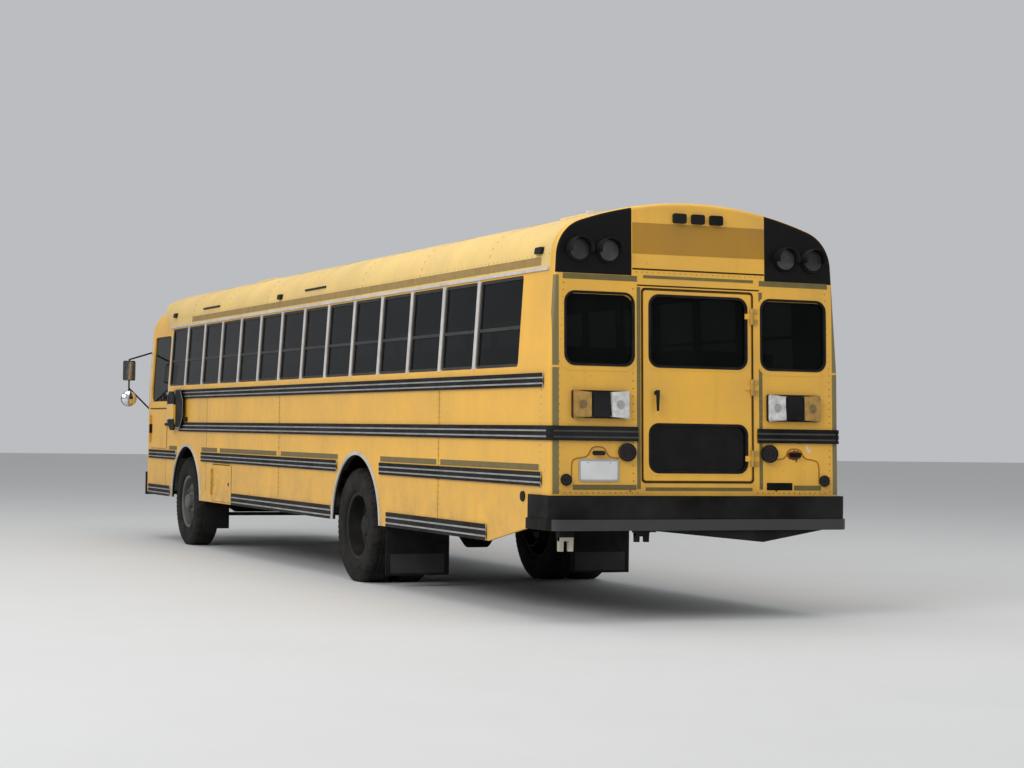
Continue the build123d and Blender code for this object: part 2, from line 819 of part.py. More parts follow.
def build_frame():
    top = floor_bottom - crossmember_height - seat_gap
    bottom = top - rail_depth
    channel = outline(
        ((rail_half_width, bottom), (rail_half_width, top), (rail_half_width - rail_flange, top),
         (rail_half_width - rail_flange, top - rail_plate), (rail_half_width - rail_plate, top - rail_plate),
         (rail_half_width - rail_plate, bottom + rail_plate), (rail_half_width - rail_flange, bottom + rail_plate),
         (rail_half_width - rail_flange, bottom))
    )
    left = along(channel, frame_ends[0], frame_ends[1])
    frame = left + mirror(left, about=Plane.XZ)
    inner = rail_half_width - rail_plate + 1
    for station in crossmember_stations:
        member = block(station - 40, station + 40, -inner, inner, bottom + 30, top - 60)
        member = member - block(station - 30, station + 41, -inner + 60, inner - 60, bottom + 40, top - 70)
        frame = frame + member
    save("frame_rails", frame)


def spring_pack(station, seat_z, span, count, thickness):
    # leaves stacked under a main leaf whose ends meet the rail, each shorter than the last
    leaves = []
    centre_z = seat_z + count * thickness
    drop = floor_bottom - crossmember_height - rail_depth - 2 * seat_gap - centre_z
    radius = (span * span / 4 + drop * drop) / (2 * drop)
    for i in range(count):
        outer = radius + i * thickness
        half = span / 2 - i * span * 0.09
        ring = tube_y(outer + thickness, station, centre_z + radius, spring_y - spring_width / 2,
                      spring_y + spring_width / 2)
        ring = ring - tube_y(outer, station, centre_z + radius, spring_y - 60, spring_y + 60)
        leaves.append(ring & block(station - half, station + half, 0, rail_half_width * 2,
                                   centre_z - 400, centre_z + drop + 200))
    pack = leaves[0]
    for leaf in leaves[1:]:
        pack = pack + leaf
    return pack


def build_axles():
    # front I-beam with an eye at each end for the kingpins
    z = axle_height
    x = front_axle_station
    eye_half = 55
    beam = block(x - 45, x + 45, -600, 600, z - 120, z - 105)
    beam = beam + block(x - 45, x + 45, -600, 600, z - 40, z - 25)
    beam = beam + block(x - 9, x + 9, -600, 600, z - 106, z - 39)
    for side in (-1, 1):
        rise = outline(
            ((side * 590, z - 120), (side * 590, z - 25), (side * 700, z + eye_half),
             (side * (kingpin_y - 20), z + eye_half), (side * (kingpin_y - 20), z - eye_half),
             (side * 690, z - 60))
        )
        beam = beam + along(rise, x - 38, x + 38)
        eye = tube_z(42, x, side * kingpin_y, z - eye_half, z + eye_half)
        beam = beam + eye
        beam = beam - tube_z(kingpin_radius + fit_gap, x, side * kingpin_y, z - eye_half - 5, z + eye_half + 5)
    # pads that carry the springs
    for side in (-1, 1):
        beam = beam + block(x - 70, x + 70, side * spring_y - 45, side * spring_y + 45, z - 30, z + 30)
    save("front_axle", beam)
    # rear housing with its round differential casing
    x = rear_axle_station
    profile = outline(((0, -930), (58, -930), (58, -560), (78, -540), (78, -190), (205, -90), (205, 90),
                       (78, 190), (78, 540), (58, 560), (58, 930), (0, 930)))
    housing = Pos(x, 0, z) * revolve(profile, axis=Axis.Y)
    nose = tube_x(120, 0, z, x, x + 330)
    housing = housing + nose
    for side in (-1, 1):
        housing = housing + block(x - 75, x + 75, side * spring_y - 50, side * spring_y + 50, z + 20, z + 80)
    save("rear_axle", housing)
    packs = []
    front_pack = spring_pack(front_axle_station, z + 30 + seat_gap, 1350, 3, 13)
    rear_pack = spring_pack(rear_axle_station, z + 80 + seat_gap, 1500, 3, 12)
    packs = both_sides(front_pack, rear_pack)
    save("leaf_springs", *packs)


def steering_knuckle():
    # the left knuckle: kingpin, yoke, spindle, brake backing plate and rear arm
    x, y, z = front_axle_station, kingpin_y, axle_height
    eye_half = 55
    knuckle = tube_z(kingpin_radius, x, y, z - kingpin_half, z + kingpin_half)
    for low, high in ((z + eye_half + 1, z + kingpin_half), (z - kingpin_half, z - eye_half - 1)):
        knuckle = knuckle + tube_z(42, x, y, low, high)
        knuckle = knuckle + block(x - 36, x + 36, y, y + 62, low, high)
    knuckle = knuckle + block(x - 36, x + 36, y + 46, y + 64, z - kingpin_half, z + kingpin_half)
    knuckle = knuckle + tube_y(drum_radius - 14, x, z, y + 56, y + 62)
    knuckle = knuckle + tube_y(hub_bore, x, z, y + 60, front_wheel_y + 40)
    arm_z = tie_rod_height + 34
    arm = block(x - steering_arm, x - 20, y - 20, y + 20, arm_z - 12, arm_z + 12)
    arm = arm + tube_z(32, x - steering_arm, y, arm_z - 12, arm_z + 12)
    knuckle = knuckle + arm
    return knuckle - tube_z(10 + fit_gap, x - steering_arm, y, arm_z - 20, arm_z + 20)


def build_steering():
    left = steering_knuckle()
    save("knuckle_left", left)
    save("knuckle_right", mirror(left, about=Plane.XZ))
    x = front_axle_station - steering_arm
    top = tie_rod_height + 34 - 12 - seat_gap
    rod = tube_y(tie_rod_radius, x, tie_rod_height - 12, -kingpin_y, kingpin_y)
    for side in (-1, 1):
        rod = rod + tube_z(30, x, side * kingpin_y, tie_rod_height - 36, top)
        rod = rod + tube_z(10, x, side * kingpin_y, top - 5, top + 24)
    save("tie_rod", rod)


def tyre(centre_y):
    half = tyre_width / 2
    bead = rim_width / 2 - 18 - seat_gap
    face = make_face(
        [
            Line((bead_radius, -bead), (rim_flange + seat_gap, -bead - 10)),
            Line((rim_flange + seat_gap, -bead - 10), (rim_flange + 1, -bead - 24)),
            Line((rim_flange + 1, -bead - 24), (bead_radius + 90, -half)),
            Line((bead_radius + 90, -half), (tyre_radius - 66, -half + 4)),
            Line((tyre_radius - 66, -half + 4), (tyre_radius - 14, -half + 26)),
            Line((tyre_radius - 14, -half + 26), (tyre_radius, -half + 46)),
            Line((tyre_radius, -half + 46), (tyre_radius, half - 46)),
            Line((tyre_radius, half - 46), (tyre_radius - 14, half - 26)),
            Line((tyre_radius - 14, half - 26), (tyre_radius - 66, half - 4)),
            Line((tyre_radius - 66, half - 4), (bead_radius + 90, half)),
            Line((bead_radius + 90, half), (rim_flange + 1, bead + 24)),
            Line((rim_flange + 1, bead + 24), (rim_flange + seat_gap, bead + 10)),
            Line((rim_flange + seat_gap, bead + 10), (bead_radius, bead)),
            Line((bead_radius, bead), (bead_radius, -bead)),
        ]
    )
    whole = Pos(0, centre_y, 0) * revolve(face, axis=Axis.Y)
    # the contact patch rests flat on the ground
    flat = block(-400, 400, centre_y - 200, centre_y + 200, -tyre_radius - 10, -axle_height)
    return whole - flat


def rim_ring(centre_y):
    half = rim_width / 2
    seat = bead_radius - seat_gap
    face = outline(
        ((seat - rim_wall, -half + 12), (rim_flange, -half), (rim_flange, -half + 8), (seat, -half + 18),
         (seat, half - 18), (rim_flange, half - 8), (rim_flange, half), (seat - rim_wall, half - 12))
    )
    return Pos(0, centre_y, 0) * revolve(face, axis=Axis.Y)


def disc(points):
    return revolve(outline(points), axis=Axis.Y)


def hand_holes(y0, y1):
    return [
        Rot(0, i * 360 / hand_hole_count, 0) * tube_y(hand_hole, hand_hole_circle, 0, y0, y1)
        for i in range(hand_hole_count)
    ]


def front_wheel():
    seat = bead_radius - rim_wall
    c = front_wheel_y
    plate = disc(((seat + 2, c - 5), (seat + 2, c + 12), (232, c + 52), (170, c + 66), (60, c + 66),
                  (60, c + 54), (168, c + 54), (222, c + 40)))
    for hole in hand_holes(c - 20, c + 80):
        plate = plate - hole
    inner = kingpin_y + 66
    hub = disc(((hub_bore + fit_gap, inner + 20), (112, inner + 20), (112, c + 40), (130, c + 60), (130, c + 66),
                (84, c + 72), (84, c + 118), (70, c + 134), (0, c + 134), (0, c + 48),
                (hub_bore + fit_gap, c + 48)))
    drum = disc(((drum_radius - 12, inner), (drum_radius, inner), (drum_radius, c - 10), (150, c + 10),
                 (100, c + 10), (100, c - 2), (drum_radius - 12, c - 20)))
    return tyre(c), rim_ring(c) + plate + hub + drum


def rear_wheels():
    outer, inner = rear_wheel_y, rear_wheel_y - dual_spacing
    middle = (outer + inner) / 2
    seat = bead_radius - rim_wall
    plate = disc(((seat + 2, outer - 36), (seat + 2, outer - 20), (232, middle + 32), (180, middle + 12),
                  (110, middle + 12), (110, middle), (184, middle), (244, middle + 20)))
    rims = rim_ring(outer) + plate
    rims = rims + mirror(rims, about=Plane.XZ.offset(-middle))
    for hole in hand_holes(middle - 60, middle + 60):
        rims = rims - hole
    # hub with the axle flange, around the fixed housing's end
    bore = 58 + fit_gap
    hub = disc(((bore, 600), (120, 600), (120, outer - 20), (138, outer - 10), (138, outer + 8), (96, outer + 16),
                (84, outer + 46), (0, outer + 46), (0, 945), (bore, 945)))
    drum = disc(((drum_radius - 12, 545), (drum_radius, 545), (drum_radius, 690), (118, 705), (118, 690),
                 (drum_radius - 12, 675)))
    return tyre(outer), tyre(inner), rims + hub + drum


def build_wheels():
    place = Pos(front_axle_station, 0, axle_height)
    rubber, rim = front_wheel()
    for name, flip in (("left", False), ("right", True)):
        shapes = [place * rubber, place * rim]
        if flip:
            shapes = [mirror(shape, about=Plane.XZ) for shape in shapes]
        save("tyre_front_" + name, shapes[0])
        save("rim_front_" + name, shapes[1])
    place = Pos(rear_axle_station, 0, axle_height)
    outer, inner, rims = rear_wheels()
    for name, flip in (("left", False), ("right", True)):
        shapes = [place * outer, place * inner, place * rims]
        if flip:
            shapes = [mirror(shape, about=Plane.XZ) for shape in shapes]
        save("tyres_rear_" + name, shapes[0], shapes[1])
        save("rims_rear_" + name, shapes[2])


def bumper_outline(grow, wrap):
    # plan of the rear bumper's outer face, grown by the given amount
    half = bumper_half_width + grow
    back = -bumper_proud - grow
    length = wrap - back
    plan = Pos(back + length / 2, 0) * Rectangle(length, 2 * half)
    plan = fillet([v for v in plan.vertices() if v.X < back + 1], bumper_corner + grow)
    return plan


def build_bumpers():
    z0, z1 = bumper_band
    wrap = bumper_wrap
    web = upright(bumper_outline(0, wrap), z0, z1)
    web = web - upright(bumper_outline(-bumper_plate, wrap + 1), z0 - 1, z1 + 1)
    for low in (z0, z1 - bumper_plate):
        flange = upright(bumper_outline(-1, wrap), low, low + bumper_plate)
        clear = half_width + seat_gap
        flange = flange - block(-bumper_proud + bumper_flange, wrap + 1, -clear, clear,
                                low - 1, low + bumper_plate + 1)
        web = web + flange
    lip = upright(bumper_outline(bumper_lip, wrap), z0, bumper_lip_top)
    lip = lip - upright(bumper_outline(-1, wrap + 1), z0 - 1, bumper_lip_top + 1)
    bumper = web + lip
    # the rail ends carry the bumper
    rail_middle = rail_half_width - rail_flange / 2
    for side in (-1, 1):
        y0, y1 = side * rail_middle - rail_flange / 2, side * rail_middle + rail_flange / 2
        bumper = bumper + block(-bumper_proud + 1, frame_ends[0] - seat_gap, y0, y1, z0 + 15, z1 - 15)
    skid = along(outline(skid_points), -bumper_proud + 12, frame_ends[0] - seat_gap)
    save("rear_bumper", bumper, skid - block(-200, 200, -2000, 2000, z0 - seat_gap, z0 + 100))
    z0, z1 = front_bumper_band
    back = front_at(nose_bottom) + seat_gap
    plan = outline(
        ((back, -1180), (front_bumper_face - 60, -1215), (front_bumper_face, -1000),
         (front_bumper_face, 1000), (front_bumper_face - 60, 1215), (back, 1180))
    )
    solid = upright(plan, z0, z1)
    hollow = upright(offset(plan, -14), z0 + 14, z1 - 14) + block(
        back - 5, back + 20, -1150, 1150, z0 + 14, z1 - 14)
    front = solid - hollow
    for side in (-1, 1):
        front = front + block(frame_ends[1] + seat_gap, front_bumper_face - 5, side * 394 - 38, side * 394 + 38,
                              z0 + 120, z1 - 10)
    save("front_bumper", front)


def build_underside():
    x0, x1, y0, y1, z0, z1 = fuel_tank_box
    tank = fillet(block(x0, x1, y0, y1, z0, z1).edges().filter_by(Axis.X), 60)
    for station in (x0 + 250, x1 - 250):
        bracket = block(station - 30, station + 30, y1 - 5, -rail_half_width - seat_gap, 700, 840)
        tank = tank + bracket
    save("fuel_tank", tank)
    x0, x1, y0, y1, z0, z1 = engine_block
    mount_y = rail_half_width - rail_flange - seat_gap
    engine = block(x0, x1, y0, y1, z0, z1)
    for station in (x0 + 200, x1 - 200):
        engine = engine + block(station - 50, station + 50, -mount_y, mount_y, 700, 760)
    save("engine", engine)
    cover = block(cover_station, front_at(cover_top, wall + 2), -cover_half, cover_half,
                  floor_top + seat_gap, cover_top)
    cover = chamfer(cover.edges().filter_by(Axis.X).group_by(Axis.Z)[-1], 90)
    t = cover_wall
    inside = block(cover_station + t, front_at(cover_top, wall + 2) - t, -cover_half + t, cover_half - t,
                   floor_top, cover_top - t)
    inside = chamfer(inside.edges().filter_by(Axis.X).group_by(Axis.Z)[-1], 84)
    save("engine_cover", cover - inside)
    # propeller shaft in two lengths with a hanger bearing between
    nose = rear_axle_station + 330
    shaft_z = axle_height + 60
    rail_bottom = floor_bottom - crossmember_height - seat_gap - rail_depth
    rear_shaft = tube_x(50, 0, axle_height, nose + seat_gap, 7300)
    front_shaft = tube_x(50, 0, axle_height, 7380, 9810)
    joint = tube_x(75, 0, axle_height, 7300, 7380)
    gearbox = block(9900, engine_block[0] - seat_gap, -210, 210, axle_height + 20, axle_height + 340)
    gearbox = gearbox + tube_x(60, 0, axle_height + 40, 9800, 9900)
    hanger = block(7320, 7360, -60, 60, shaft_z - 30, rail_bottom + 30 - seat_gap)
    save("driveline", rear_shaft + joint + front_shaft + gearbox + hanger)
    # exhaust: down pipe, silencer and tail pipe beside the left rail
    pipe_y = rail_half_width + 135
    silencer = tube_x(120, pipe_y, 700, 5600, 6700)
    pipe = tube_x(50, pipe_y, 700, 5150, 9400)
    strap = block(5800, 5840, rail_half_width + seat_gap, pipe_y, 760, 800)
    strap = strap + block(6500, 6540, rail_half_width + seat_gap, pipe_y, 760, 800)
    strap = strap + block(8500, 8540, rail_half_width + seat_gap, pipe_y, 690, 710)
    save("exhaust", silencer + pipe + strap)
    # battery tray behind its door
    x0, x1, z0, z1 = battery_bay
    y = half_width - skirt_thickness - 20
    tray = block(x0 + 20, x1 - 20, 700, y, z0 + 20, z0 + 32)
    tray = tray + block(x0 + 20, x0 + 32, 700, y, z0 + 20, floor_bottom - seat_gap)
    tray = tray + block(x1 - 32, x1 - 20, 700, y, z0 + 20, floor_bottom - seat_gap)
    cells = [block(x0 + 60 + i * 300, x0 + 330 + i * 300, 760, y - 40, z0 + 32, z0 + 260) for i in range(2)]
    for cell in cells:
        tray = tray + cell
    save("battery_box", tray)
    flaps = []
    for station, y0, y1 in ((3480, 590, 1170), (9480, 880, 1170)):
        top = floor_bottom - crossmember_height - seat_gap
        flap = block(station - 6, station, y0, y1, 220, top)
        flap = flap + block(station, station + 40, rail_half_width + seat_gap, y1, top - 40, top)
        flaps += both_sides(flap)
    save("mud_flaps", *flaps)


def bench(station, side):
    # an L-shaped bench across one side of the aisle
    profile = outline(
        ((station + bench_depth, cushion_height - cushion_thickness), (station + bench_depth, cushion_height - 20),
         (station + bench_depth - 30, cushion_height), (station + 20, cushion_height - 15),
         (station - 40, back_height - 25), (station - 60, back_height),
         (station - 60 - back_thickness + 30, back_height), (station - 60 - back_thickness + 10, back_height - 25),
         (station - back_thickness + 20, cushion_height - cushion_thickness - 20),
         (station, cushion_height - cushion_thickness))
    )
    y0, y1 = sorted((side * bench_inner, side * bench_outer))
    return across(profile, y0, y1)


def build_seats():
    rows = [first_row + i * row_pitch for i in range(row_count)]
    save("seats", *[bench(station, side) for station in rows for side in (-1, 1)])
    frames = []
    low, high = floor_top + seat_gap, cushion_height - cushion_thickness - seat_gap
    for station in rows:
        blocked = [abs(station + bench_depth / 2 - a) < 900 for a in (rear_axle_station, front_axle_station)]
        for side in (-1, 1):
            reach = 460 if any(blocked) else 900
            y_in, y_out = side * (bench_inner + 60), side * reach
            half = seat_tube / 2
            bar = block(station + 20, station + bench_depth - 20, y_in - half, y_in + half,
                        high - seat_tube, high)
            leg_a = block(station + 40, station + 40 + seat_tube, y_in - half, y_in + half, low, high)
            leg_b = block(station + bench_depth - 70, station + bench_depth - 40, y_in - seat_tube / 2,
                          y_in + seat_tube / 2, low, high)
            cross = block(station + 150, station + 150 + seat_tube, *sorted((y_in, side * (bench_outer - 20))),
                          high - seat_tube, high)
            outer_leg = block(station + 150, station + 150 + seat_tube, y_out - half, y_out + half,
                              low, high)
            frames.append(bar + leg_a + leg_b + cross + outer_leg)
    save("seat_frames", *frames)
    # driver's seat on its pedestal, left of the engine cover
    y0, y1 = 500, 960
    pedestal = block(11020, 11330, 560, 900, floor_top + seat_gap, 1330)
    cushion = fillet(block(10960, 11420, y0, y1, 1330, 1450).edges(), 25)
    back = fillet((Pos(10990, 0, 1450) * Rot(0, -10, 0) * block(-60, 50, y0, y1, -10, 640)).edges(), 25)
    save("driver_seat", pedestal + cushion + back)
    panel = outline(((11700, 1120), (front_at(1120, wall + 3), 1120), (front_at(1480, wall + 3), 1480),
                     (11790, 1480), (11700, 1400)))
    dash = across(panel, cover_half + 4, half_width - wall - 4)
    legs = block(11900, 11940, cover_half + 30, cover_half + 70, floor_top + seat_gap, 1125)
    legs = legs + block(11900, 11940, 1080, 1120, floor_top + seat_gap, 1125)
    column = Pos(11650, 730, 1430) * Rot(0, -25, 0) * Cylinder(25, 460)
    ring = chamfer((Cylinder(232, 26) - Cylinder(206, 26)).edges(), 6)
    ring = Pos(11553, 730, 1640) * Rot(0, -25, 0) * ring
    spokes = Pos(11553, 730, 1640) * Rot(0, -25, 0) * (Box(430, 30, 12) + Box(30, 430, 12))
    save("dashboard", dash + legs + column + ring + spokes)


# Lamps: Y, Z and half sizes on the rear wall; the front ones lie on the cap
warning_lamp_places = {"rear": (738, 977, 2690), "front": (730, 955, 2650)}
warning_lens = 75
warning_bezel = 90
warning_hood = 88
marker_places = (-153, 0, 153)


def slice_of(depth0, depth1):
    # between two depths of the skin; negative depths stand proud of it
    return body_volume(depth0) - body_volume(depth1)


def build_lamps():
    rear, front = (-300, 300), (body_length - 400, body_length + 300)
    housings = []
    for end, span in (("rear", rear), ("front", front)):
        near, far, height = warning_lamp_places[end]
        out = -1 if end == "rear" else 1
        drop = Pos(0, 0, 0) if end == "rear" else Pos(0, 0, -cap_drop)
        for y in (-far, -near, near, far):
            base = rear_at(height) if end == "rear" else front_at(height)
            bezel = (drop * slice_of(-14, -seat_gap)) & along(Pos(y, height) * Circle(warning_bezel), *span)
            lens = (drop * slice_of(-30, -13)) & along(Pos(y, height) * Circle(warning_lens), *span)
            hood_length = sorted((base + out * 8, base + out * (warning_hood + 10)))
            low_cut = hood_length[0] - 1, hood_length[1] + 1
            hood = tube_x(warning_bezel, y, height, *hood_length)
            hood = hood - tube_x(warning_bezel - 6, y, height, *low_cut)
            hood = hood - block(*low_cut, y - 120, y + 120, height - 120, height - 20)
            housings.append(bezel + lens + (hood - body_volume(-2)))
    save("warning_lamps", *housings)
    # identification and clearance lamps
    markers = []
    for y in marker_places:
        face = Pos(y, 2955) * RectangleRounded(106, 72, 14)
        markers.append(slice_of(-26, -seat_gap) & along(face, *rear))
        face = Pos(y * 1.4, 2850) * RectangleRounded(110, 60, 12)
        markers.append((Pos(0, 0, -cap_drop) * slice_of(-26, -seat_gap)) & along(face, *front))
    for side in (-1, 1):
        for station in (326, 6733, 10950):
            y0, y1 = sorted((side * half_width * 0.9, side * (half_width + 60)))
            face = Pos(station, 2688) * RectangleRounded(110, 50, 10)
            markers.append(slice_of(-28, -seat_gap) & across(face, y0, y1))
        face = Pos(460, 894) * Circle(38)
        y0, y1 = sorted((side * half_width * 0.95, side * (half_width + 60)))
        markers.append(slice_of(-12, -seat_gap) & across(face, y0, y1))
    save("marker_lamps", *markers)
    tails = []
    for side in (-1, 1):
        a, b = sorted((side * 579, side * 1030))
        housing = slice_of(-34, -seat_gap) & along(window_outline(a, b, 1470, 1672, 14), *rear)
        for low, high in ((588, 722), (736, 874), (888, 1021)):
            c, d = sorted((side * low, side * high))
            housing = housing + (slice_of(-44, -33) & along(window_outline(c, d, 1482, 1660, 10), *rear))
        tails.append(housing)
        tails.append(slice_of(-34, -seat_gap) & along(Pos(side * 592, 1228) * Circle(66), *rear))
        tails.append(slice_of(-14, -seat_gap) & along(Pos(side * 1075, 1027) * Circle(42), *rear))
    save("tail_lamps", *tails)
    heads = []
    for side in (-1, 1):
        a, b = sorted((side * 560, side * 1060))
        bezel = slice_of(-16, -seat_gap) & along(window_outline(a, b, 930, 1150, 40), *front)
        for y, radius in ((675, 88), (895, 88)):
            bezel = bezel + (slice_of(-34, -15) & along(Pos(side * y, 1040) * Circle(radius), *front))
        heads.append(bezel)
    save("headlamps", *heads)


def mirror_rod(points, radius):
    rods = None
    for a, b in zip(points, points[1:]):
        a, b = Vector(*a), Vector(*b)
        run = b - a
        plane = Plane(origin=a + run * 0.5, z_dir=run)
        rod = plane * Cylinder(radius, run.length)
        rods = rod if rods is None else rods + rod
    for p in points[1:-1]:
        rods = rods + Pos(*p) * Sphere(radius)
    return rods


def build_mirrors():
    # on each front corner: a flat mirror over a round convex one, on one bent arm
    x, y = mirror_arm
    root = front_at(2300)
    arm = mirror_rod(((root - 30, 1085, 2300), (root + 40, 1085, 2300), (x, y, 2185), (x, y, 1700)), mirror_tube)
    foot = front_at(1500)
    arm = arm + mirror_rod(((x, y, 1830), (foot + 40, 1100, 1500), (foot - 30, 1100, 1500)), mirror_tube)
    z0, z1 = flat_mirror
    flat = block(x - 14, x + 14, y - flat_mirror_half, y + flat_mirror_half, z0, z1)
    flat = fillet(flat.edges().filter_by(Axis.X), 20)
    # the convex glass bulges rearward out of its shell
    z = crossview_height
    depth = math.sqrt(crossview_curve ** 2 - crossview_radius ** 2)
    shell_end = tube_x(crossview_radius, y, z, x - 16, x + 14)
    glass = Pos(x - 16 + depth, y, z) * Sphere(crossview_curve)
    glass = glass & tube_x(crossview_radius - 3, y, z, x - 80, x - 10)
    whole = (arm + flat + shell_end + glass) - body_volume(-seat_gap, rounded=True)
    save("mirrors", *both_sides(whole.solids().sort_by(SortBy.VOLUME)[-1]))


def build_stop_arm():
    # an octagon on a hinged arm; the brackets and the cover swing with it
    cx, cz = stop_arm_centre
    half = stop_arm_across / 2
    shape = RegularPolygon(half / math.cos(math.pi / 8), 8, rotation=22.5)
    y0 = half_width + stop_arm_stand
    y1 = y0 + stop_arm_plate
    axis_x, axis_y = stop_arm_axis, (y0 + y1) / 2
    near = axis_x - 34
    sign = across(Pos(cx, cz) * shape, y0, y1)
    sign = sign + block(cx + half - 60, axis_x, y0, y1, cz - 60, cz + 60)
    sign = sign + tube_z(14, axis_x, axis_y, cz - 70, cz + 70)
    upper = outline(((10560, 1618), (near, 1618), (near, 1740), (10790, 1778), (10640, 1778), (10560, 1700)))
    lower = outline(((10530, 1460), (10804, 1460), (10804, 1380), (10720, 1320), (10600, 1320), (10530, 1370)))
    sign = sign + across(upper, y0, y1 + 14) + across(lower, y0, y1 + 14)
    sign = sign + block(10530, near, y0, y1 + 26, 1458, 1620)
    sign = sign - tube_z(hinge_pin + 2 + fit_gap, axis_x, axis_y, cz - 200, cz + 200)
    save("stop_arm", sign)
    # the fixed bracket on the wall, with its hinge pin, foot and small lamp
    skin_y = half_width + seat_gap
    box = block(axis_x - 26, axis_x + 60, skin_y, half_width + 22, cz - 130, cz + 120)
    for side in (-1, 1):
        low, high = sorted((cz + side * 71, cz + side * 110))
        box = box + block(axis_x - 14, axis_x + 14, half_width + 20, axis_y + 14, low, high)
    box = box + tube_z(hinge_pin + 2, axis_x, axis_y, cz - 110, cz + 110)
    box = box + block(axis_x + 40, axis_x + 240, skin_y, half_width + 30, 1372, 1404)
    box = box + block(axis_x + 10, axis_x + 60, skin_y, half_width + 22, 1372, cz - 120)
    box = box + tube_y(22, axis_x + 32, 1426, skin_y, half_width + 40)
    rest = block(cx - 60, cx - 30, skin_y, y0 - seat_gap, cz - 30, cz + 30)
    lock = tube_y(26, 10170, 1450, skin_y, half_width + 24)
    save("stop_arm_bracket", box, rest, lock)


os.makedirs("parts", exist_ok=True)
build_left_wall()
build_right_wall()
build_roof()
build_rear_wall()
build_front()
build_glass()
build_window_frames()
build_rub_rails()
build_arch_trims()
build_floor()
build_frame()
build_axles()
build_steering()
build_wheels()
build_bumpers()
build_underside()
build_seats()
build_lamps()
build_mirrors()
build_stop_arm()
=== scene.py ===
import math
import random

import bmesh
import bpy
from mathutils import Matrix, Vector


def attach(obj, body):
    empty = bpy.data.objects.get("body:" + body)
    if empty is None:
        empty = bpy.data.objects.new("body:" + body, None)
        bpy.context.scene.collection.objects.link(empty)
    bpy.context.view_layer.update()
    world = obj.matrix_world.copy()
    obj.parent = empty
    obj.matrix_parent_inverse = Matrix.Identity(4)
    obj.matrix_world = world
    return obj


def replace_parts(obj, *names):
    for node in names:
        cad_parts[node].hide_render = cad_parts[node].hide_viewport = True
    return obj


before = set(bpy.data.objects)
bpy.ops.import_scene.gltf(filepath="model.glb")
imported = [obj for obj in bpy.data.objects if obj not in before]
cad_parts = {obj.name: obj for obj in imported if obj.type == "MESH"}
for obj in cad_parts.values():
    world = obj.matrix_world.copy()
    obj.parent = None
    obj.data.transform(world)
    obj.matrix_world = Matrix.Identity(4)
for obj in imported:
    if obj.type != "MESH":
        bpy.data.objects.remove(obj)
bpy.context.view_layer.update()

rng = random.Random(7)

# Stations along the bus are measured from its rear wall, as in the CAD source, in metres.
# The frame's origin lies at the middle's station
MIDDLE = 6.033
BODY_LENGTH = 12.08
REAR_AXLE = 4.257
FRONT_AXLE = 10.24
AXLE_Z = 0.5
FRONT_TYRE_Y = 1.040
REAR_TYRES_Y = (1.050, 0.720)

# The body's section: upright to the belt line, leaning in above it, then the shoulder's and the roof's arcs
HALF_WIDTH = 1.205
SKIRT_Z = 0.5
BELT = 1.831
LEAN = 0.059
SHOULDER = 0.3
CROWN = 2.9
ROOF_TOP = 3.076
FLOOR_Z = 1.031

# How far the end walls lean toward the middle for each metre above the rake's height
REAR_RAKE = 0.038
FRONT_RAKE = 0.006
RAKE_HEIGHT = 0.925
# The front cap lies this much lower than the roof
CAP_DROP = 0.12

# Pieces laid on the skin reach this far into it, and the thinnest ones stand this far out
SUNK = 0.0003
FILM = 0.0006
# The emergency door's hinges lie further to the right than this
DOOR_HALF = 0.44
# A face looks along an axis when its normal has more than this along it
FACING = 0.7

# Photograph's camera: place, heading and lens, worked out from the bus's straight lines
CAMERA_PLACE = (-13.64326 - MIDDLE, 7.39655, 1.36763)
CAMERA_YAW = math.radians(-23.35)
CAMERA_PITCH = math.radians(1.29)
CAMERA_ROLL = math.radians(0.87)
CAMERA_LENS = 73.83

YELLOW = (0.86, 0.46, 0.045)
TAPE_COLOR = (0.19, 0.15, 0.055)


def rear_at(z):
    return REAR_RAKE * (z - RAKE_HEIGHT)


def front_at(z):
    return BODY_LENGTH - FRONT_RAKE * (z - RAKE_HEIGHT)


def section():
    # the body's half outline above the floor: points with their outward normals
    slant = math.hypot(1, LEAN)
    crown_centre = ROOF_TOP - CROWN
    base = HALF_WIDTH - SHOULDER * slant
    rise = BELT - crown_centre
    reach = CROWN - SHOULDER
    b = rise - LEAN * base
    c = base ** 2 + rise ** 2 - reach ** 2
    climb = (math.sqrt(b ** 2 - slant ** 2 * c) - b) / slant ** 2
    cy, cz = base - LEAN * climb, BELT + climb
    low = math.atan2(LEAN, 1)
    high = math.atan2(cz - crown_centre, cy)
    points = [(HALF_WIDTH, SKIRT_Z, 1.0, 0.0), (HALF_WIDTH, BELT, 1 / slant, LEAN / slant)]
    shoulder_steps, roof_steps = 12, 16
    for i in range(shoulder_steps + 1):
        a = low + (high - low) * i / shoulder_steps
        points.append((cy + SHOULDER * math.cos(a), cz + SHOULDER * math.sin(a), math.cos(a), math.sin(a)))
    for i in range(1, roof_steps + 1):
        a = high + (math.pi / 2 - high) * i / roof_steps
        points.append((CROWN * math.cos(a), crown_centre + CROWN * math.sin(a), math.cos(a), math.sin(a)))
    return points


SECTION = section()


def side_point(z, proud=0.0):
    # Y and Z on the skin at height z, with the given distance outside it
    for (y0, z0, a0, b0), (y1, z1, a1, b1) in zip(SECTION, SECTION[1:]):
        if z0 <= z <= z1:
            t = (z - z0) / (z1 - z0) if z1 > z0 else 0
            ny, nz = (1.0, 0.0) if z < BELT else (a0 + (a1 - a0) * t, b0 + (b1 - b0) * t)
            return y0 + (y1 - y0) * t + ny * proud, z + nz * proud
    return 0.0, ROOF_TOP + proud


# Materials

def node_tree(name):
    material = bpy.data.materials.new(name)
    material.use_nodes = True
    tree = material.node_tree
    shader = tree.nodes["Principled BSDF"]
    return material, tree, shader


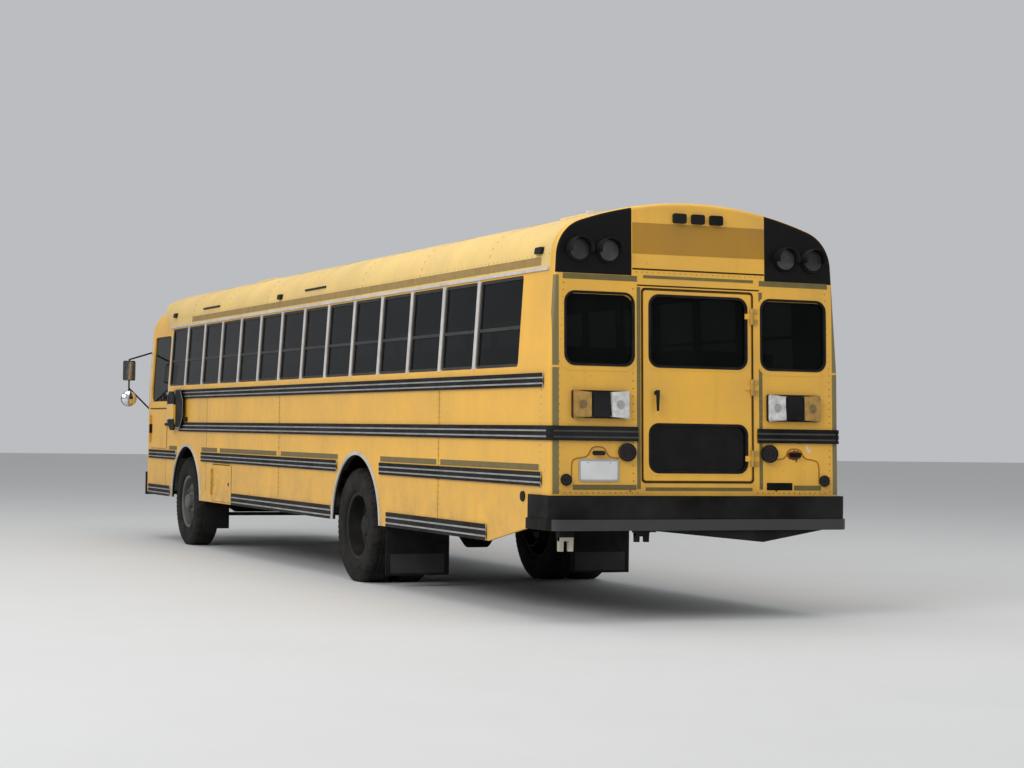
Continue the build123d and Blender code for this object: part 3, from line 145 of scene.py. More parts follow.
def feed(tree, node, values):
    # sets a node's inputs and settings by name, and links those that get another node's output
    for name, value in values.items():
        if isinstance(value, bpy.types.NodeSocket):
            tree.links.new(value, node.inputs[name])
        elif name in node.inputs:
            node.inputs[name].default_value = value
        else:
            setattr(node, name, value)


def add(tree, kind, **values):
    node = tree.nodes.new(kind)
    feed(tree, node, values)
    return node


def noise(tree, scale, detail=4.0, stretch=(1, 1, 1), rough=0.55):
    place = add(tree, "ShaderNodeTexCoord").outputs["Object"]
    mapped = add(tree, "ShaderNodeMapping", Vector=place, Scale=stretch).outputs["Vector"]
    values = {"Vector": mapped, "Scale": scale, "Detail": detail, "Roughness": rough}
    return add(tree, "ShaderNodeTexNoise", **values).outputs["Fac"]


def ramp(tree, source, low, high, a=0.0, b=1.0):
    values = {"Value": source, "From Min": low, "From Max": high, "To Min": a, "To Max": b}
    return add(tree, "ShaderNodeMapRange", **values).outputs["Result"]


def mix(tree, factor, first, second):
    node = add(tree, "ShaderNodeMix", data_type="RGBA")
    tree.links.new(factor, node.inputs["Factor"])
    for socket, value in ((node.inputs[6], first), (node.inputs[7], second)):
        if isinstance(value, tuple):
            socket.default_value = (*value, 1.0)
        else:
            tree.links.new(value, socket)
    return node.outputs[2]


def combine(tree, a, b, operation="MULTIPLY"):
    node = add(tree, "ShaderNodeMath", operation=operation)
    for socket, value in zip(node.inputs, (a, b)):
        if isinstance(value, float):
            socket.default_value = value
        else:
            tree.links.new(value, socket)
    return node.outputs[0]


def place_along(tree, axis="Z"):
    # the object's own coordinate along one axis
    place = add(tree, "ShaderNodeTexCoord").outputs["Object"]
    return add(tree, "ShaderNodeSeparateXYZ", Vector=place).outputs[axis]


def bump(tree, shader, source, strength, distance):
    node = add(tree, "ShaderNodeBump", Strength=strength, Distance=distance, Height=source)
    feed(tree, shader, {"Normal": node.outputs["Normal"]})


def paint(name, color, rough, dirt, rust, coat=0.15, shine=0.5):
    # sprayed paint: faint cloudiness, dust toward the ground, run-down streaks and rust specks
    material, tree, shader = node_tree(name)
    dull = tuple(c * 0.80 + 0.02 for c in color)
    cloud = ramp(tree, noise(tree, 1.6, 5), 0.35, 0.70)
    base = mix(tree, cloud, color, dull)
    streaks = ramp(tree, noise(tree, 9.0, 6, (1.0, 1.0, 0.07)), 0.52, 0.78)
    base = mix(tree, combine(tree, streaks, 0.32 * dirt), base, tuple(c * 0.50 for c in color))
    grime = ramp(tree, place_along(tree), 1.05, 0.45)
    spots = ramp(tree, noise(tree, 5.0, 8), 0.38, 0.72)
    film = combine(tree, combine(tree, grime, spots), dirt)
    base = mix(tree, film, base, (0.13, 0.10, 0.07))
    if rust > 0:
        specks = ramp(tree, noise(tree, 22.0, 8, (1, 1, 0.6), 0.7), 0.70 - rust * 0.05, 0.80)
        base = mix(tree, specks, base, (0.16, 0.055, 0.018))
    rough_map = ramp(tree, noise(tree, 14.0, 4), 0.3, 0.7, rough - 0.06, rough + 0.12)
    feed(tree, shader, {"Base Color": base, "Roughness": rough_map, "Coat Weight": coat,
                        "Coat Roughness": 0.25, "Specular IOR Level": shine})
    bump(tree, shader, noise(tree, 2.2, 3), 0.6, 0.0032)
    return material


def inside(tree, value, low, high, soft=0.0006):
    # 1 between two values of a coordinate, 0 outside them
    above = ramp(tree, value, low - soft, low + soft)
    below = ramp(tree, value, high - soft, high + soft, 1.0, 0.0)
    return combine(tree, above, below)


def rear_face_paint():
    # the worn yellow with the black fields round the warning lamps and the tapes at the corners
    material = paint("rear_face_paint", YELLOW, 0.42, 0.75, 1.0)
    tree = material.node_tree
    shader = tree.nodes["Principled BSDF"]
    x, y, z = (place_along(tree, axis) for axis in "XYZ")
    # distance from the fields' middle, which lies a little to the right, and depth behind the raked skin
    centre_offset = 0.012
    across = add(tree, "ShaderNodeMath", operation="ABSOLUTE")
    tree.links.new(combine(tree, y, centre_offset, "ADD"), across.inputs[0])
    across = across.outputs[0]
    lean = combine(tree, combine(tree, z, RAKE_HEIGHT, "SUBTRACT"), REAR_RAKE)
    depth = combine(tree, combine(tree, x, MIDDLE, "ADD"), lean, "SUBTRACT")
    field_y, field_z, field_depth = (0.556, 1.3), (2.517, 3.2), (-0.1, 0.0085)
    field = combine(tree, inside(tree, across, *field_y), inside(tree, z, *field_z))
    field = combine(tree, field, inside(tree, depth, *field_depth))
    tape_y, tape_depth, tape_low, tape_high = (1.140, 1.192), (-0.1, 0.020), (0.925, 1.832), (1.848, 2.500)
    strips = combine(tree, inside(tree, across, *tape_y), inside(tree, depth, *tape_depth))
    both = combine(tree, inside(tree, z, *tape_low), inside(tree, z, *tape_high), "ADD")
    strips = combine(tree, strips, both)
    source = shader.inputs["Base Color"].links[0].from_socket
    color = mix(tree, strips, source, TAPE_COLOR)
    color = mix(tree, field, color, (0.006, 0.006, 0.006))
    feed(tree, shader, {"Base Color": color, "Specular IOR Level": ramp(tree, field, 0, 1, 0.5, 0.12),
                        "Coat Weight": ramp(tree, field, 0, 1, 0.15, 0.0)})
    return material


def plain(name, color, rough=0.5, metal=0.0, vary=0.25, scale=30.0, depth=0.0003, dust=0.0, shine=0.35):
    # a material with mottled colour, uneven gloss and a fine grain
    material, tree, shader = node_tree(name)
    cloud = ramp(tree, noise(tree, scale * 0.2, 5), 0.3, 0.7)
    base = mix(tree, cloud, color, tuple(c * (1 - vary) for c in color))
    if dust > 0:
        film = ramp(tree, noise(tree, 6.0, 7), 0.42, 0.75, 0.0, dust)
        base = mix(tree, film, base, (0.22, 0.19, 0.15))
    rough_map = ramp(tree, noise(tree, scale, 5), 0.3, 0.7, max(rough - 0.08, 0.03), min(rough + 0.1, 1.0))
    feed(tree, shader, {"Base Color": base, "Roughness": rough_map, "Metallic": metal,
                        "Specular IOR Level": shine})
    bump(tree, shader, noise(tree, scale * 3, 4), 0.5, depth)
    return material


def lens(name, color, rough, ribs):
    # moulded lens: fine flutes under a clear coat
    material, tree, shader = node_tree(name)
    cloud = ramp(tree, noise(tree, 18.0, 4), 0.3, 0.7)
    base = mix(tree, cloud, color, tuple(c * 0.6 for c in color))
    feed(tree, shader, {"Base Color": base, "Roughness": rough, "Coat Weight": 0.25,
                        "Coat Roughness": 0.08, "Specular IOR Level": 0.3})
    place = add(tree, "ShaderNodeTexCoord").outputs["Object"]
    flutes = add(tree, "ShaderNodeTexWave", Vector=place, Scale=ribs, Distortion=0.0, bands_direction="Y")
    bump(tree, shader, flutes.outputs["Fac"], 0.8, 0.0012)
    return material


def glass(name, color, alpha):
    # a dark pane with smears, partly clear
    material, tree, shader = node_tree(name)
    smear = ramp(tree, noise(tree, 3.0, 6, (1, 1, 0.4)), 0.35, 0.75, 0.03, 0.10)
    cloud = ramp(tree, noise(tree, 2.0, 4), 0.3, 0.7)
    base = mix(tree, cloud, color, tuple(c * 1.6 + 0.002 for c in color))
    feed(tree, shader, {"Base Color": base, "Roughness": smear, "Alpha": alpha, "IOR": 1.45,
                        "Specular IOR Level": 0.07})
    return material


# Paints, with their roughness, dirt, rust and clear coat
body = paint("body_paint", YELLOW, 0.4, 0.45, 0.6)
body_worn = paint("body_paint_worn", YELLOW, 0.42, 0.75, 1.0)
# the roof's paler, less saturated yellow is the body's paint with a painted sky reflection (sheen) in it
roof_paint_sheen = paint("roof_paint_sheen", (0.8, 0.56, 0.2), 0.58, 0.3, 0.15, 0.03, 0.25)
sign_paint = paint("sign_band_paint", (0.46, 0.235, 0.025), 0.45, 0.35, 0.3, 0.05, 0.2)
rear_paint = rear_face_paint()
black = paint("black_paint", (0.004, 0.004, 0.004), 0.5, 0.1, 0.0, 0.0, 0.08)
bumper_black = paint("bumper_paint", (0.004, 0.004, 0.004), 0.5, 0.1, 0.0, 0.0, 0.08)

# Plain materials: roughness, metal share, mottling, grain scale and depth, dust and shine
# the bumper lip's lighter grey is a painted highlight
bumper_lip_highlight = plain("bumper_lip_highlight", (0.045, 0.045, 0.046), 0.5, 0.0, 0.3, 30, 0.0003, 0.1)
cream = plain("cream_paint", (0.5, 0.46, 0.36), 0.6, 0.0, 0.3, 20, 0.0003, 0.3)
flap_print = plain("flap_relief", (0.03, 0.03, 0.031), 0.6, 0.0, 0.5, 60, 0.0006, 0.1)
silver = plain("silver_metal", (0.56, 0.55, 0.53), 0.38, 0.75, 0.25, 40, 0.0002, 0.12)
sash_metal = plain("sash_metal", (0.026, 0.026, 0.026), 0.55, 0.0, 0.3, 40, 0.0002, 0.1)
pillar_metal = plain("pillar_metal", (0.66, 0.65, 0.64), 0.5, 0.25, 0.25, 40, 0.0002, 0.12)
# the light lines in the rub rails' grooves are painted highlights of the sky; the rear face's copy is dimmer
side_rail_highlight = plain("side_rail_highlight", (0.55, 0.54, 0.52), 0.5, 0.2, 0.4, 25, 0.0002, 0.2)
rear_rail_highlight = plain("rear_rail_line_dim_highlight", (0.1, 0.097, 0.088), 0.5, 0.2, 0.4, 25, 0.0002, 0.1)
white_trim = plain("white_trim", (0.62, 0.58, 0.5), 0.55, 0.0, 0.3, 20, 0.0003, 0.35)
rubber = plain("rubber", (0.008, 0.008, 0.009), 0.62, 0.0, 0.3, 40, 0.0003, 0.05, 0.15)
tyre_rubber = plain("tyre_rubber", (0.011, 0.0105, 0.01), 0.82, 0.0, 0.35, 25, 0.0006, 0.09, 0.2)
rim_paint = plain("rim_paint", (0.15, 0.146, 0.142), 0.55, 0.1, 0.4, 20, 0.0005, 0.1, 0.25)
# the rear rims' near-black is painted shade: they are grey like the front rims, darkened as if seen deep in
# the duals' dish
rear_rim_shade = plain("rear_rim_shade", (0.016, 0.0155, 0.015), 0.6, 0.1, 0.4, 20, 0.0005, 0.1, 0.25)
hub_metal = plain("hub_metal", (0.18, 0.174, 0.168), 0.5, 0.4, 0.4, 25, 0.0004, 0.15)
chassis = plain("chassis_paint", (0.01, 0.0095, 0.009), 0.7, 0.1, 0.4, 18, 0.0006, 0.2, 0.2)
cast = plain("cast_metal", (0.022, 0.02, 0.018), 0.75, 0.3, 0.4, 30, 0.001, 0.2)
lining = plain("inner_lining", (0.2, 0.21, 0.19), 0.55, 0.0, 0.2, 12, 0.0002, 0.1)
floor_cover = plain("floor_cover", (0.015, 0.015, 0.015), 0.7, 0.0, 0.3, 30, 0.0005, 0.2, 0.2)
grey_plastic = plain("grey_plastic", (0.025, 0.025, 0.026), 0.55, 0.0, 0.2, 120, 0.0002, 0.1)
block_white = plain("white_plastic", (0.66, 0.65, 0.62), 0.4, 0.0, 0.15, 18, 0.0003, 0.25)
chrome = plain("bright_metal", (0.6, 0.6, 0.6), 0.15, 1.0, 0.1, 20, 0.0001, 0.05, 0.5)
tape = plain("reflective_tape", TAPE_COLOR, 0.5, 0.0, 0.25, 60, 0.0001, 0.08, 0.2)
seam = plain("seam_shadow", (0.05, 0.03, 0.01), 0.75, 0.0, 0.4, 30, 0.0002, 0.0, 0.1)
rivet_paint = plain("rivet_paint", (0.5, 0.26, 0.03), 0.6, 0.0, 0.4, 60, 0.0002, 0.1, 0.2)
hinge_paint = plain("hinge_paint", (0.62, 0.38, 0.09), 0.6, 0.0, 0.4, 60, 0.0002, 0.1, 0.1)
roof_tape = plain("roof_tape", (0.36, 0.235, 0.075), 0.5, 0.0, 0.25, 60, 0.0001, 0.08, 0.2)
# the pressed line's darker orange is painted shade along the pressing's edge
pressing_shade_line = plain("pressing_shade_line", (0.36, 0.17, 0.02), 0.6, 0.0, 0.3, 60, 0.0002, 0.1, 0.2)
rust_stain = plain("rust_stain", (0.24, 0.085, 0.022), 0.8, 0.0, 0.45, 60, 0.0006)
plate_white = plain("plate_white", (0.72, 0.73, 0.72), 0.35, 0.0, 0.12, 20, 0.0002, 0.12)
vinyl = plain("seat_vinyl", (0.03, 0.036, 0.032), 0.42, 0.0, 0.3, 60, 0.0006, 0.05)
dark_pane = plain("dark_pane", (0.004, 0.004, 0.0045), 0.25, 0.0, 0.2, 10, 0.0, 0.02, 0.2)
mirror_face = plain("mirror_face", (0.75, 0.76, 0.78), 0.04, 1.0, 0.02, 8, 0.0, 0.0, 0.5)

# Lenses, with their roughness and the fineness of their flutes, and the windows
lens_inner = lens("lens_grey", (0.08, 0.078, 0.074), 0.25, 40)
lens_outer = lens("lens_dark_grey", (0.035, 0.034, 0.033), 0.25, 40)
smoke_red = lens("lens_dark_red", (0.012, 0.007, 0.006), 0.25, 90)
amber = lens("lens_amber", (0.52, 0.3, 0.07), 0.25, 70)
clear = lens("lens_white", (0.8, 0.79, 0.77), 0.2, 70)
lens_marker = lens("lens_marker", (0.012, 0.008, 0.007), 0.2, 120)
lens_marker_amber = lens("lens_marker_amber", (0.035, 0.022, 0.012), 0.2, 120)
bulb_grey = lens("lens_bulb_grey", (0.46, 0.45, 0.43), 0.35, 70)
bulb_brown = lens("lens_bulb_brown", (0.27, 0.165, 0.055), 0.35, 70)
window = glass("window_glass", (0.002, 0.0025, 0.0025), 0.74)


# Mesh helpers

def piece(name, material, shapes, ride="bus", smooth=False):
    # one object from a list of shapes, each given by its corners and its faces
    verts, faces = [], []
    for corners, sides in shapes:
        start = len(verts)
        verts += [tuple(corner) for corner in corners]
        faces += [tuple(start + i for i in face) for face in sides]
    mesh = bpy.data.meshes.new(name)
    mesh.from_pydata(verts, [], faces)
    work = bmesh.new()
    work.from_mesh(mesh)
    bmesh.ops.recalc_face_normals(work, faces=work.faces)
    work.to_mesh(mesh)
    work.free()
    mesh.materials.append(material)
    if smooth:
        mesh.polygons.foreach_set("use_smooth", [True] * len(mesh.polygons))
    shown = bpy.data.objects.new(name, mesh)
    bpy.context.collection.objects.link(shown)
    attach(shown, ride)
    return shown


def spread(low, high, count):
    # evenly spaced values with both ends
    return [low + (high - low) * i / (count - 1) for i in range(count)]


def slab(rows_out, rows_in):
    # two matching grids of points, joined into a closed plate
    r, c = len(rows_out), len(rows_out[0])
    verts = [p for row in rows_out for p in row] + [p for row in rows_in for p in row]
    n = r * c
    faces = []
    for i in range(r - 1):
        for j in range(c - 1):
            a, b, d, e = i * c + j, i * c + j + 1, (i + 1) * c + j, (i + 1) * c + j + 1
            faces.append((a, b, e, d))
            faces.append((n + a, n + d, n + e, n + b))
    rim = [(0, j) for j in range(c)] + [(i, c - 1) for i in range(1, r)]
    rim += [(r - 1, j) for j in range(c - 2, -1, -1)] + [(i, 0) for i in range(r - 2, 0, -1)]
    ids = [i * c + j for i, j in rim]
    for a, b in zip(ids, ids[1:] + ids[:1]):
        faces.append((a, n + a, n + b, b))
    return verts, faces


def prism(points_low, points_high):
    # matching outlines, joined into a closed solid
    n = len(points_low)
    verts = list(points_low) + list(points_high)
    faces = [tuple(range(n)), tuple(range(2 * n - 1, n - 1, -1))]
    for i in range(n):
        j = (i + 1) % n
        faces.append((i, n + i, n + j, j))
    return verts, faces


def loops(rounds, n):
    # faces that join closed outlines of n points, each to the next and the last to the first
    faces = []
    for k in range(rounds):
        a, b = k * n, (k + 1) % rounds * n
        for i in range(n):
            j = (i + 1) % n
            faces.append((a + i, a + j, b + j, b + i))
    return faces


def block(x0, x1, y0, y1, z0, z1, draw_x=0.0, draw_y=0.0):
    # an upright box between two stations, its top's edges drawn in by the given distances
    low = ((x0, y0), (x1, y0), (x1, y1), (x0, y1))
    x0, x1, y0, y1 = x0 + draw_x, x1 - draw_x, y0 + draw_y, y1 - draw_y
    high = ((x0, y0), (x1, y0), (x1, y1), (x0, y1))
    return prism([(x - MIDDLE, y, z0) for x, y in low], [(x - MIDDLE, y, z1) for x, y in high])


def circle(u, v, radius, step):
    # points round a centre, one for each step in degrees
    angles = [math.radians(a) for a in range(0, 360, step)]
    return [(u + radius * math.cos(a), v + radius * math.sin(a)) for a in angles]


def rounded(u0, u1, v0, v1, r, steps=6):
    # a rectangle's outline with round corners
    points = []
    corners = ((u1 - r, v1 - r, 0), (u0 + r, v1 - r, 90), (u0 + r, v0 + r, 180), (u1 - r, v0 + r, 270))
    for cu, cv, start in corners:
        for i in range(steps + 1):
            a = math.radians(start + 90 * i / steps)
            points.append((cu + r * math.cos(a), cv + r * math.sin(a)))
    return points


def on_rear(points, out0, out1):
    # an outline in Y and Z as a plate on the raked rear face
    return prism([(rear_at(z) - out0 - MIDDLE, y, z) for y, z in points],
                 [(rear_at(z) - out1 - MIDDLE, y, z) for y, z in points])


def patch_on_rear(y0, y1, z0, z1, out):
    # a thin rectangle on the rear face
    return on_rear([(y0, z0), (y1, z0), (y1, z1), (y0, z1)], -SUNK, out)


def ring_on_rear(outer, inner, out0, out1):
    # a frame between two matching outlines on the rear face
    verts = []
    for points, out in ((outer, out0), (outer, out1), (inner, out1), (inner, out0)):
        verts += [(rear_at(z) - out - MIDDLE, y, z) for y, z in points]
    return verts, loops(4, len(outer))


def strip_on_side(x0, x1, heights, side, out):
    # a thin strip that lies on the side of the body, roof shoulder included
    outer, inner = [], []
    for z in heights:
        for grid, proud in ((outer, out), (inner, -SUNK)):
            y, height = side_point(z, proud)
            grid.append([(x - MIDDLE, side * y, height) for x in (x0, x1)])
    return slab(outer, inner)


def dome(centre, normal, radius, height, steps=6):
    # a low round head, as of a rivet
    normal = Vector(normal).normalized()
    turn = normal.to_track_quat("Z", "Y").to_matrix()
    verts, faces = [], []
    for ring_radius, lift in ((1.0, 0.0), (0.8, 0.6), (0.4, 0.92)):
        reach = radius * ring_radius
        for i in range(steps):
            a = 2 * math.pi * i / steps
            p = Vector((reach * math.cos(a), reach * math.sin(a), height * lift))
            verts.append(Vector(centre) + turn @ p)
    verts.append(Vector(centre) + turn @ Vector((0, 0, height)))
    for k in range(2):
        for i in range(steps):
            j = (i + 1) % steps
            faces.append((k * steps + i, k * steps + j, (k + 1) * steps + j, (k + 1) * steps + i))
    for i in range(steps):
        faces.append((2 * steps + i, 2 * steps + (i + 1) % steps, 3 * steps))
    faces.append(tuple(range(steps - 1, -1, -1)))
    return verts, faces


def recolor(node, pick, materials, ride="bus"):
    # the node's own shape, with a material picked face by face from its place and direction
    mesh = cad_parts[node].data.copy()
    mesh.name = node + "_shown"
    shown = bpy.data.objects.new(node + "_shown", mesh)
    bpy.context.collection.objects.link(shown)
    mesh.materials.clear()
    for material in materials:
        mesh.materials.append(material)
    for polygon in mesh.polygons:
        c = polygon.center
        material = pick(Vector((c.x + MIDDLE, c.y, c.z)), polygon.normal)
        polygon.material_index = materials.index(material)
    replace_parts(shown, node)
    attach(shown, ride)


# Carried-over nodes that need one material only
for material, nodes in (
        (chassis, "frame_rails leaf_springs fuel_tank driveline exhaust battery_box seat_frames tie_rod"),
        (cast, "front_axle rear_axle engine knuckle_left knuckle_right"),
        (black, "grille stop_arm_bracket"),
        (bumper_black, "front_bumper"),
        (rubber, "mud_flaps"),
        (window, "window_glass"),
        (sash_metal, "window_sashes"),
        (pillar_metal, "window_pillars"),
        (white_trim, "arch_trims"),
        (grey_plastic, "engine_cover dashboard"),
        (roof_paint_sheen, "roof_hatch_rear roof_hatch_front"),
        (floor_cover, "floor wheelhouses step_well"),
        (rim_paint, "rim_front_left rim_front_right"),
        (rear_rim_shade, "rims_rear_left rims_rear_right")):
    for node in nodes.split():
        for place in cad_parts[node].material_slots:
            place.material = material


# Nodes with more than one material: each pick gets a face's centre, by station, and its normal

HINGE_PROUD = 0.0012
HINGE_TOP = 1.7
LOWEST_SKIN = 0.51
HIGHEST_SKIN = 2.6


def into_cabin(c, n):
    # true for the faces of the roof and the cap that look into the cabin
    cabin_middle = 1.9
    return n.y * c.y + n.z * (c.z - cabin_middle) < 0


def wall_pick(c, n):
    skin_y, _ = side_point(min(max(c.z, LOWEST_SKIN), HIGHEST_SKIN))
    if abs(c.y) > HALF_WIDTH + HINGE_PROUD and c.z < HINGE_TOP:
        return hinge_paint
    # the window openings' upright edges
    if abs(n.x) > 0.5 and 1.835 < c.z < 2.53 and 0.2 < c.x < 11.0:
        return silver
    wheel_distance = min(math.hypot(c.x - axle, c.z - AXLE_Z) for axle in (FRONT_AXLE, REAR_AXLE))
    arch_radius, skirt_edge = 0.80, 0.515
    if abs(n.y) < 0.5 and wheel_distance < arch_radius and c.z > skirt_edge:
        return rubber
    if abs(n.x) > 0.5 or abs(n.z) > FACING:
        return body
    if abs(c.y) < skin_y - 0.02 and n.y * c.y < 0:
        return lining
    return body


def roof_pick(c, n):
    hatch_rim = 3.05
    return lining if into_cabin(c, n) and abs(n.x) < FACING and c.z < hatch_rim else roof_paint_sheen


def cap_pick(c, n):
    cap_front = 12.0
    return lining if into_cabin(c, n) and c.x < cap_front and n.x < 0.2 else body


def front_pick(c, n):
    return lining if n.x < -FACING else body


def rear_pick(c, n):
    if c.y < -DOOR_HALF and rear_at(c.z) - c.x > 0.004:
        return hinge_paint
    return lining if n.x > FACING else rear_paint


def bumper_pick(c, n):
    # the upper edge of the rear bumper's face, lighter grey: a painted highlight where the lip faces up into
    # the light
    return bumper_lip_highlight if 0.665 < c.z < 0.742 and n.x < -0.5 and c.x < -0.07 else bumper_black


def door_pick(c, n):
    depth = c.x - rear_at(c.z)
    if c.y < -DOOR_HALF and depth < -0.004:
        return hinge_paint
    # the handle
    if 0.33 < c.y < 0.37 and 1.52 < c.z < 1.70 and depth < -0.002:
        return black
    # the two panes are thin and lie inside the leaf: half width, lower and upper edge of each
    panes = ((0.4165, 1.8545, 2.3745), (0.4145, 1.0825, 1.4425))
    in_pane = any(abs(c.y) < half and low < c.z < high for half, low, high in panes)
    if in_pane and 0.012 < depth < 0.028 and abs(n.x) > FACING:
        return window if c.z > 1.6 else dark_pane
    return lining if n.x > FACING else body_worn


def leaf_pick(c, n):
    skin_y, _ = side_point(max(c.z, LOWEST_SKIN))
    in_pane = abs(n.y) > FACING and 0.012 < skin_y - abs(c.y) < 0.0285
    return window if in_pane else black


def rail_pick(c, n):
    # the two pressed grooves carry painted highlights of the sky on their slanted faces, dimmer on the rear
    # face, and none round the rear corners
    end_half, corner_length = 1.15, 0.06
    on_end = abs(c.y) < end_half
    behind = rear_at(c.z) - c.x
    proud = behind if on_end and c.x < 0.0 else max(abs(c.y) - HALF_WIDTH, behind)
    at_corner = not on_end and c.x < corner_length
    if at_corner or not (0.006 < proud < 0.0125 and abs(n.z) < 0.5):
        return black
    return rear_rail_highlight if on_end else side_rail_highlight


def mirror_pick(c, n):
    # the flat and the round glass look back along the bus
    flat = 1.935 < c.z < 2.16 and abs(abs(c.y) - 1.44) < 0.068 and n.x < -0.9
    convex = 1.6 < c.z < 1.8 and n.x < -0.6 and c.x < 12.112
    return mirror_face if flat or convex else black


def lid_pick(metal):
    # hinges and latches stand proud of the outer lids
    def pick(c, n):
        proud = abs(c.y) - HALF_WIDTH
        return metal if proud > HINGE_PROUD and abs(n.y) < 0.9 or proud > 0.004 else body_worn
    return pick


def arm_pick(c, n):
    # the outer face of the stop arm's box is yellow
    return body if 10.52 < c.x < 10.85 and 1.457 < c.z < 1.621 and abs(c.y) > 1.256 else black


def warning_pick(c, n):
    # the front pair sits lower and closer in than the rear pair; the outer lamps are the darker ones
    front = c.x > MIDDLE
    height = 2.65 if front else 2.69
    places = (0.730, 0.955) if front else (0.738, 0.977)
    depth = (c.x - front_at(c.z + CAP_DROP)) if front else (rear_at(c.z) - c.x)
    from_centre = min(math.hypot(abs(c.y) - y, c.z - height) for y in places)
    lens_radius = 0.0765
    if from_centre > lens_radius or not 0.012 < depth < 0.032:
        return black
    return lens_inner if abs(c.y) < 0.85 else lens_outer


def tail_pick(c, n):
    # below the tail lamps with their two lenses are the round lamps
    if c.z <= 1.4:
        return smoke_red
    y = abs(c.y)
    white_edge, amber_edge, bezel_depth = 0.73, 0.885, 0.0335
    if rear_at(c.z) - c.x < bezel_depth or white_edge < y <= amber_edge:
        return black
    return amber if y > amber_edge else clear


def marker_pick(c, n):
    if c.x < 11.5:
        return black
    return lens_marker if c.z < 1.2 else lens_marker_amber


def headlamp_pick(c, n):
    return clear if c.x - front_at(c.z) > 0.0335 or abs(n.x) < 0.5 else chrome


wall_materials = [body, lining, silver, rubber, hinge_paint]
door_materials = [body_worn, lining, black, window, dark_pane, hinge_paint]
for node, pick, materials, *ride in (
        ("left_wall", wall_pick, wall_materials),
        ("right_wall", wall_pick, wall_materials),
        ("roof", roof_pick, [roof_paint_sheen, lining]),
        ("hatch_panels", roof_pick, [roof_paint_sheen, lining]),
        ("front_cap", cap_pick, [body, lining]),
        ("rear_wall", rear_pick, [rear_paint, lining, hinge_paint]),
        ("rear_bumper", bumper_pick, [bumper_black, bumper_lip_highlight]),
        ("front_face", front_pick, [body, lining]),
        ("emergency_door", door_pick, door_materials, "emergency_door_body"),
        ("entrance_leaf_front", leaf_pick, [black, window], "entrance_front_body"),
        ("entrance_leaf_rear", leaf_pick, [black, window], "entrance_rear_body"),
        ("rub_rails", rail_pick, [black, side_rail_highlight, rear_rail_highlight]),
        ("mirrors", mirror_pick, [black, mirror_face]),
        ("battery_door", lid_pick(hinge_paint), [body_worn, hinge_paint], "battery_door_body"),
        ("engine_door", lid_pick(black), [body_worn, black], "engine_door_body"),
        ("stop_arm", arm_pick, [black, body], "stop_arm_body"),
        ("warning_lamps", warning_pick, [black, lens_inner, lens_outer]),
        ("tail_lamps", tail_pick, [black, amber, smoke_red, clear]),
        ("marker_lamps", marker_pick, [lens_marker_amber, lens_marker, black]),
        ("headlamps", headlamp_pick, [chrome, clear])):
    recolor(node, pick, materials, *ride)


# Tyres with a moulded tread and ringed sidewalls

TYRE_RADIUS = 0.515
# Radius and distance from the tyre's middle plane of the sidewall's rings, from the bead outward
SIDEWALL = [
    (0.2862, 0.090), (0.3005, 0.107), (0.306, 0.123), (0.330, 0.134), (0.338, 0.1360), (0.342, 0.1355),
    (0.376, 0.1390), (0.384, 0.1395), (0.389, 0.1372), (0.430, 0.1372), (0.449, 0.1345), (0.470, 0.1320),
    (0.478, 0.1290), (0.501, 0.1130),
]
GROOVES = ((-0.069, -0.062), (-0.030, -0.023), (0.023, 0.030), (0.062, 0.069))
GROOVE_DEPTH = 0.012
TREAD_HALF = 0.096
SHOULDER_LUG = ((0.472, 0.1315), (0.5005, 0.1132), (0.5145, 0.0965), (0.5145, 0.093), (0.498, 0.093))


def tyre_profile():
    # from one bead over the tread to the other, as radius and place along the axle
    edge_radius, flank = TYRE_RADIUS - 0.001, 0.002
    profile = [(r, -y) for r, y in SIDEWALL] + [(edge_radius, -TREAD_HALF)]
    floor_radius = TYRE_RADIUS - GROOVE_DEPTH
    for a, b in GROOVES:
        profile += [(TYRE_RADIUS, a), (floor_radius, a + flank), (floor_radius, b - flank), (TYRE_RADIUS, b)]
    return profile + [(edge_radius, TREAD_HALF)] + SIDEWALL[::-1]


def tyre(centre_y, station):
    steps, bulge_height, bulge = 120, 0.06, 0.007
    profile = tyre_profile()
    verts = []
    for i in range(steps):
        a = 2 * math.pi * i / steps
        for r, t in profile:
            # every third step is a gap between lugs, and the ribs of the tread zigzag
            if i % 3 == 0 and 0.499 < r < 0.5145 and abs(t) > 0.09:
                r -= GROOVE_DEPTH
            zigzag = (0.004 if i % 2 else -0.004) if abs(t) < 0.08 and r > 0.5 else 0.0
            # the sidewall bulges over the contact patch, which is flat on the ground
            z = AXLE_Z + r * math.sin(a)
            spread = 0.0
            if z < bulge_height and r < 0.505 and 0.11 < abs(t) < 0.132:
                spread = bulge * (1 - z / bulge_height) * (1 if t > 0 else -1)
            verts.append((station + r * math.cos(a) - MIDDLE, centre_y + t + zigzag + spread, max(z, 0.0)))
    shapes = [(verts, loops(steps, len(profile)))]
    # raised lugs down both shoulders
    lugs, lug_height, lowest = 60, 0.0035, 0.0005
    for i in range(lugs):
        for side in (-1, 1):
            ends = []
            for share in (0.12, 0.62):
                a = 2 * math.pi * (i + share) / lugs
                end = []
                for r, t in SHOULDER_LUG:
                    proud = lug_height if t > 0.1 else 0.0
                    z = max(AXLE_Z + r * math.sin(a), lowest)
                    end.append((station + r * math.cos(a) - MIDDLE, centre_y + side * (t + proud), z))
                ends.append(end)
            shapes.append(prism(*ends))
    return shapes


WHEEL_SIDES = (("_left", 1), ("_right", -1))
for node, ride, station, centres in (("tyre_front", "wheel_front", FRONT_AXLE, [FRONT_TYRE_Y]),
                                     ("tyres_rear", "wheels_rear", REAR_AXLE, REAR_TYRES_Y)):
    for end, side in WHEEL_SIDES:
        shapes = [shape for y in centres for shape in tyre(side * y, station)]
        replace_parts(piece(node + end + "_tread", tyre_rubber, shapes, ride + end), node + end)

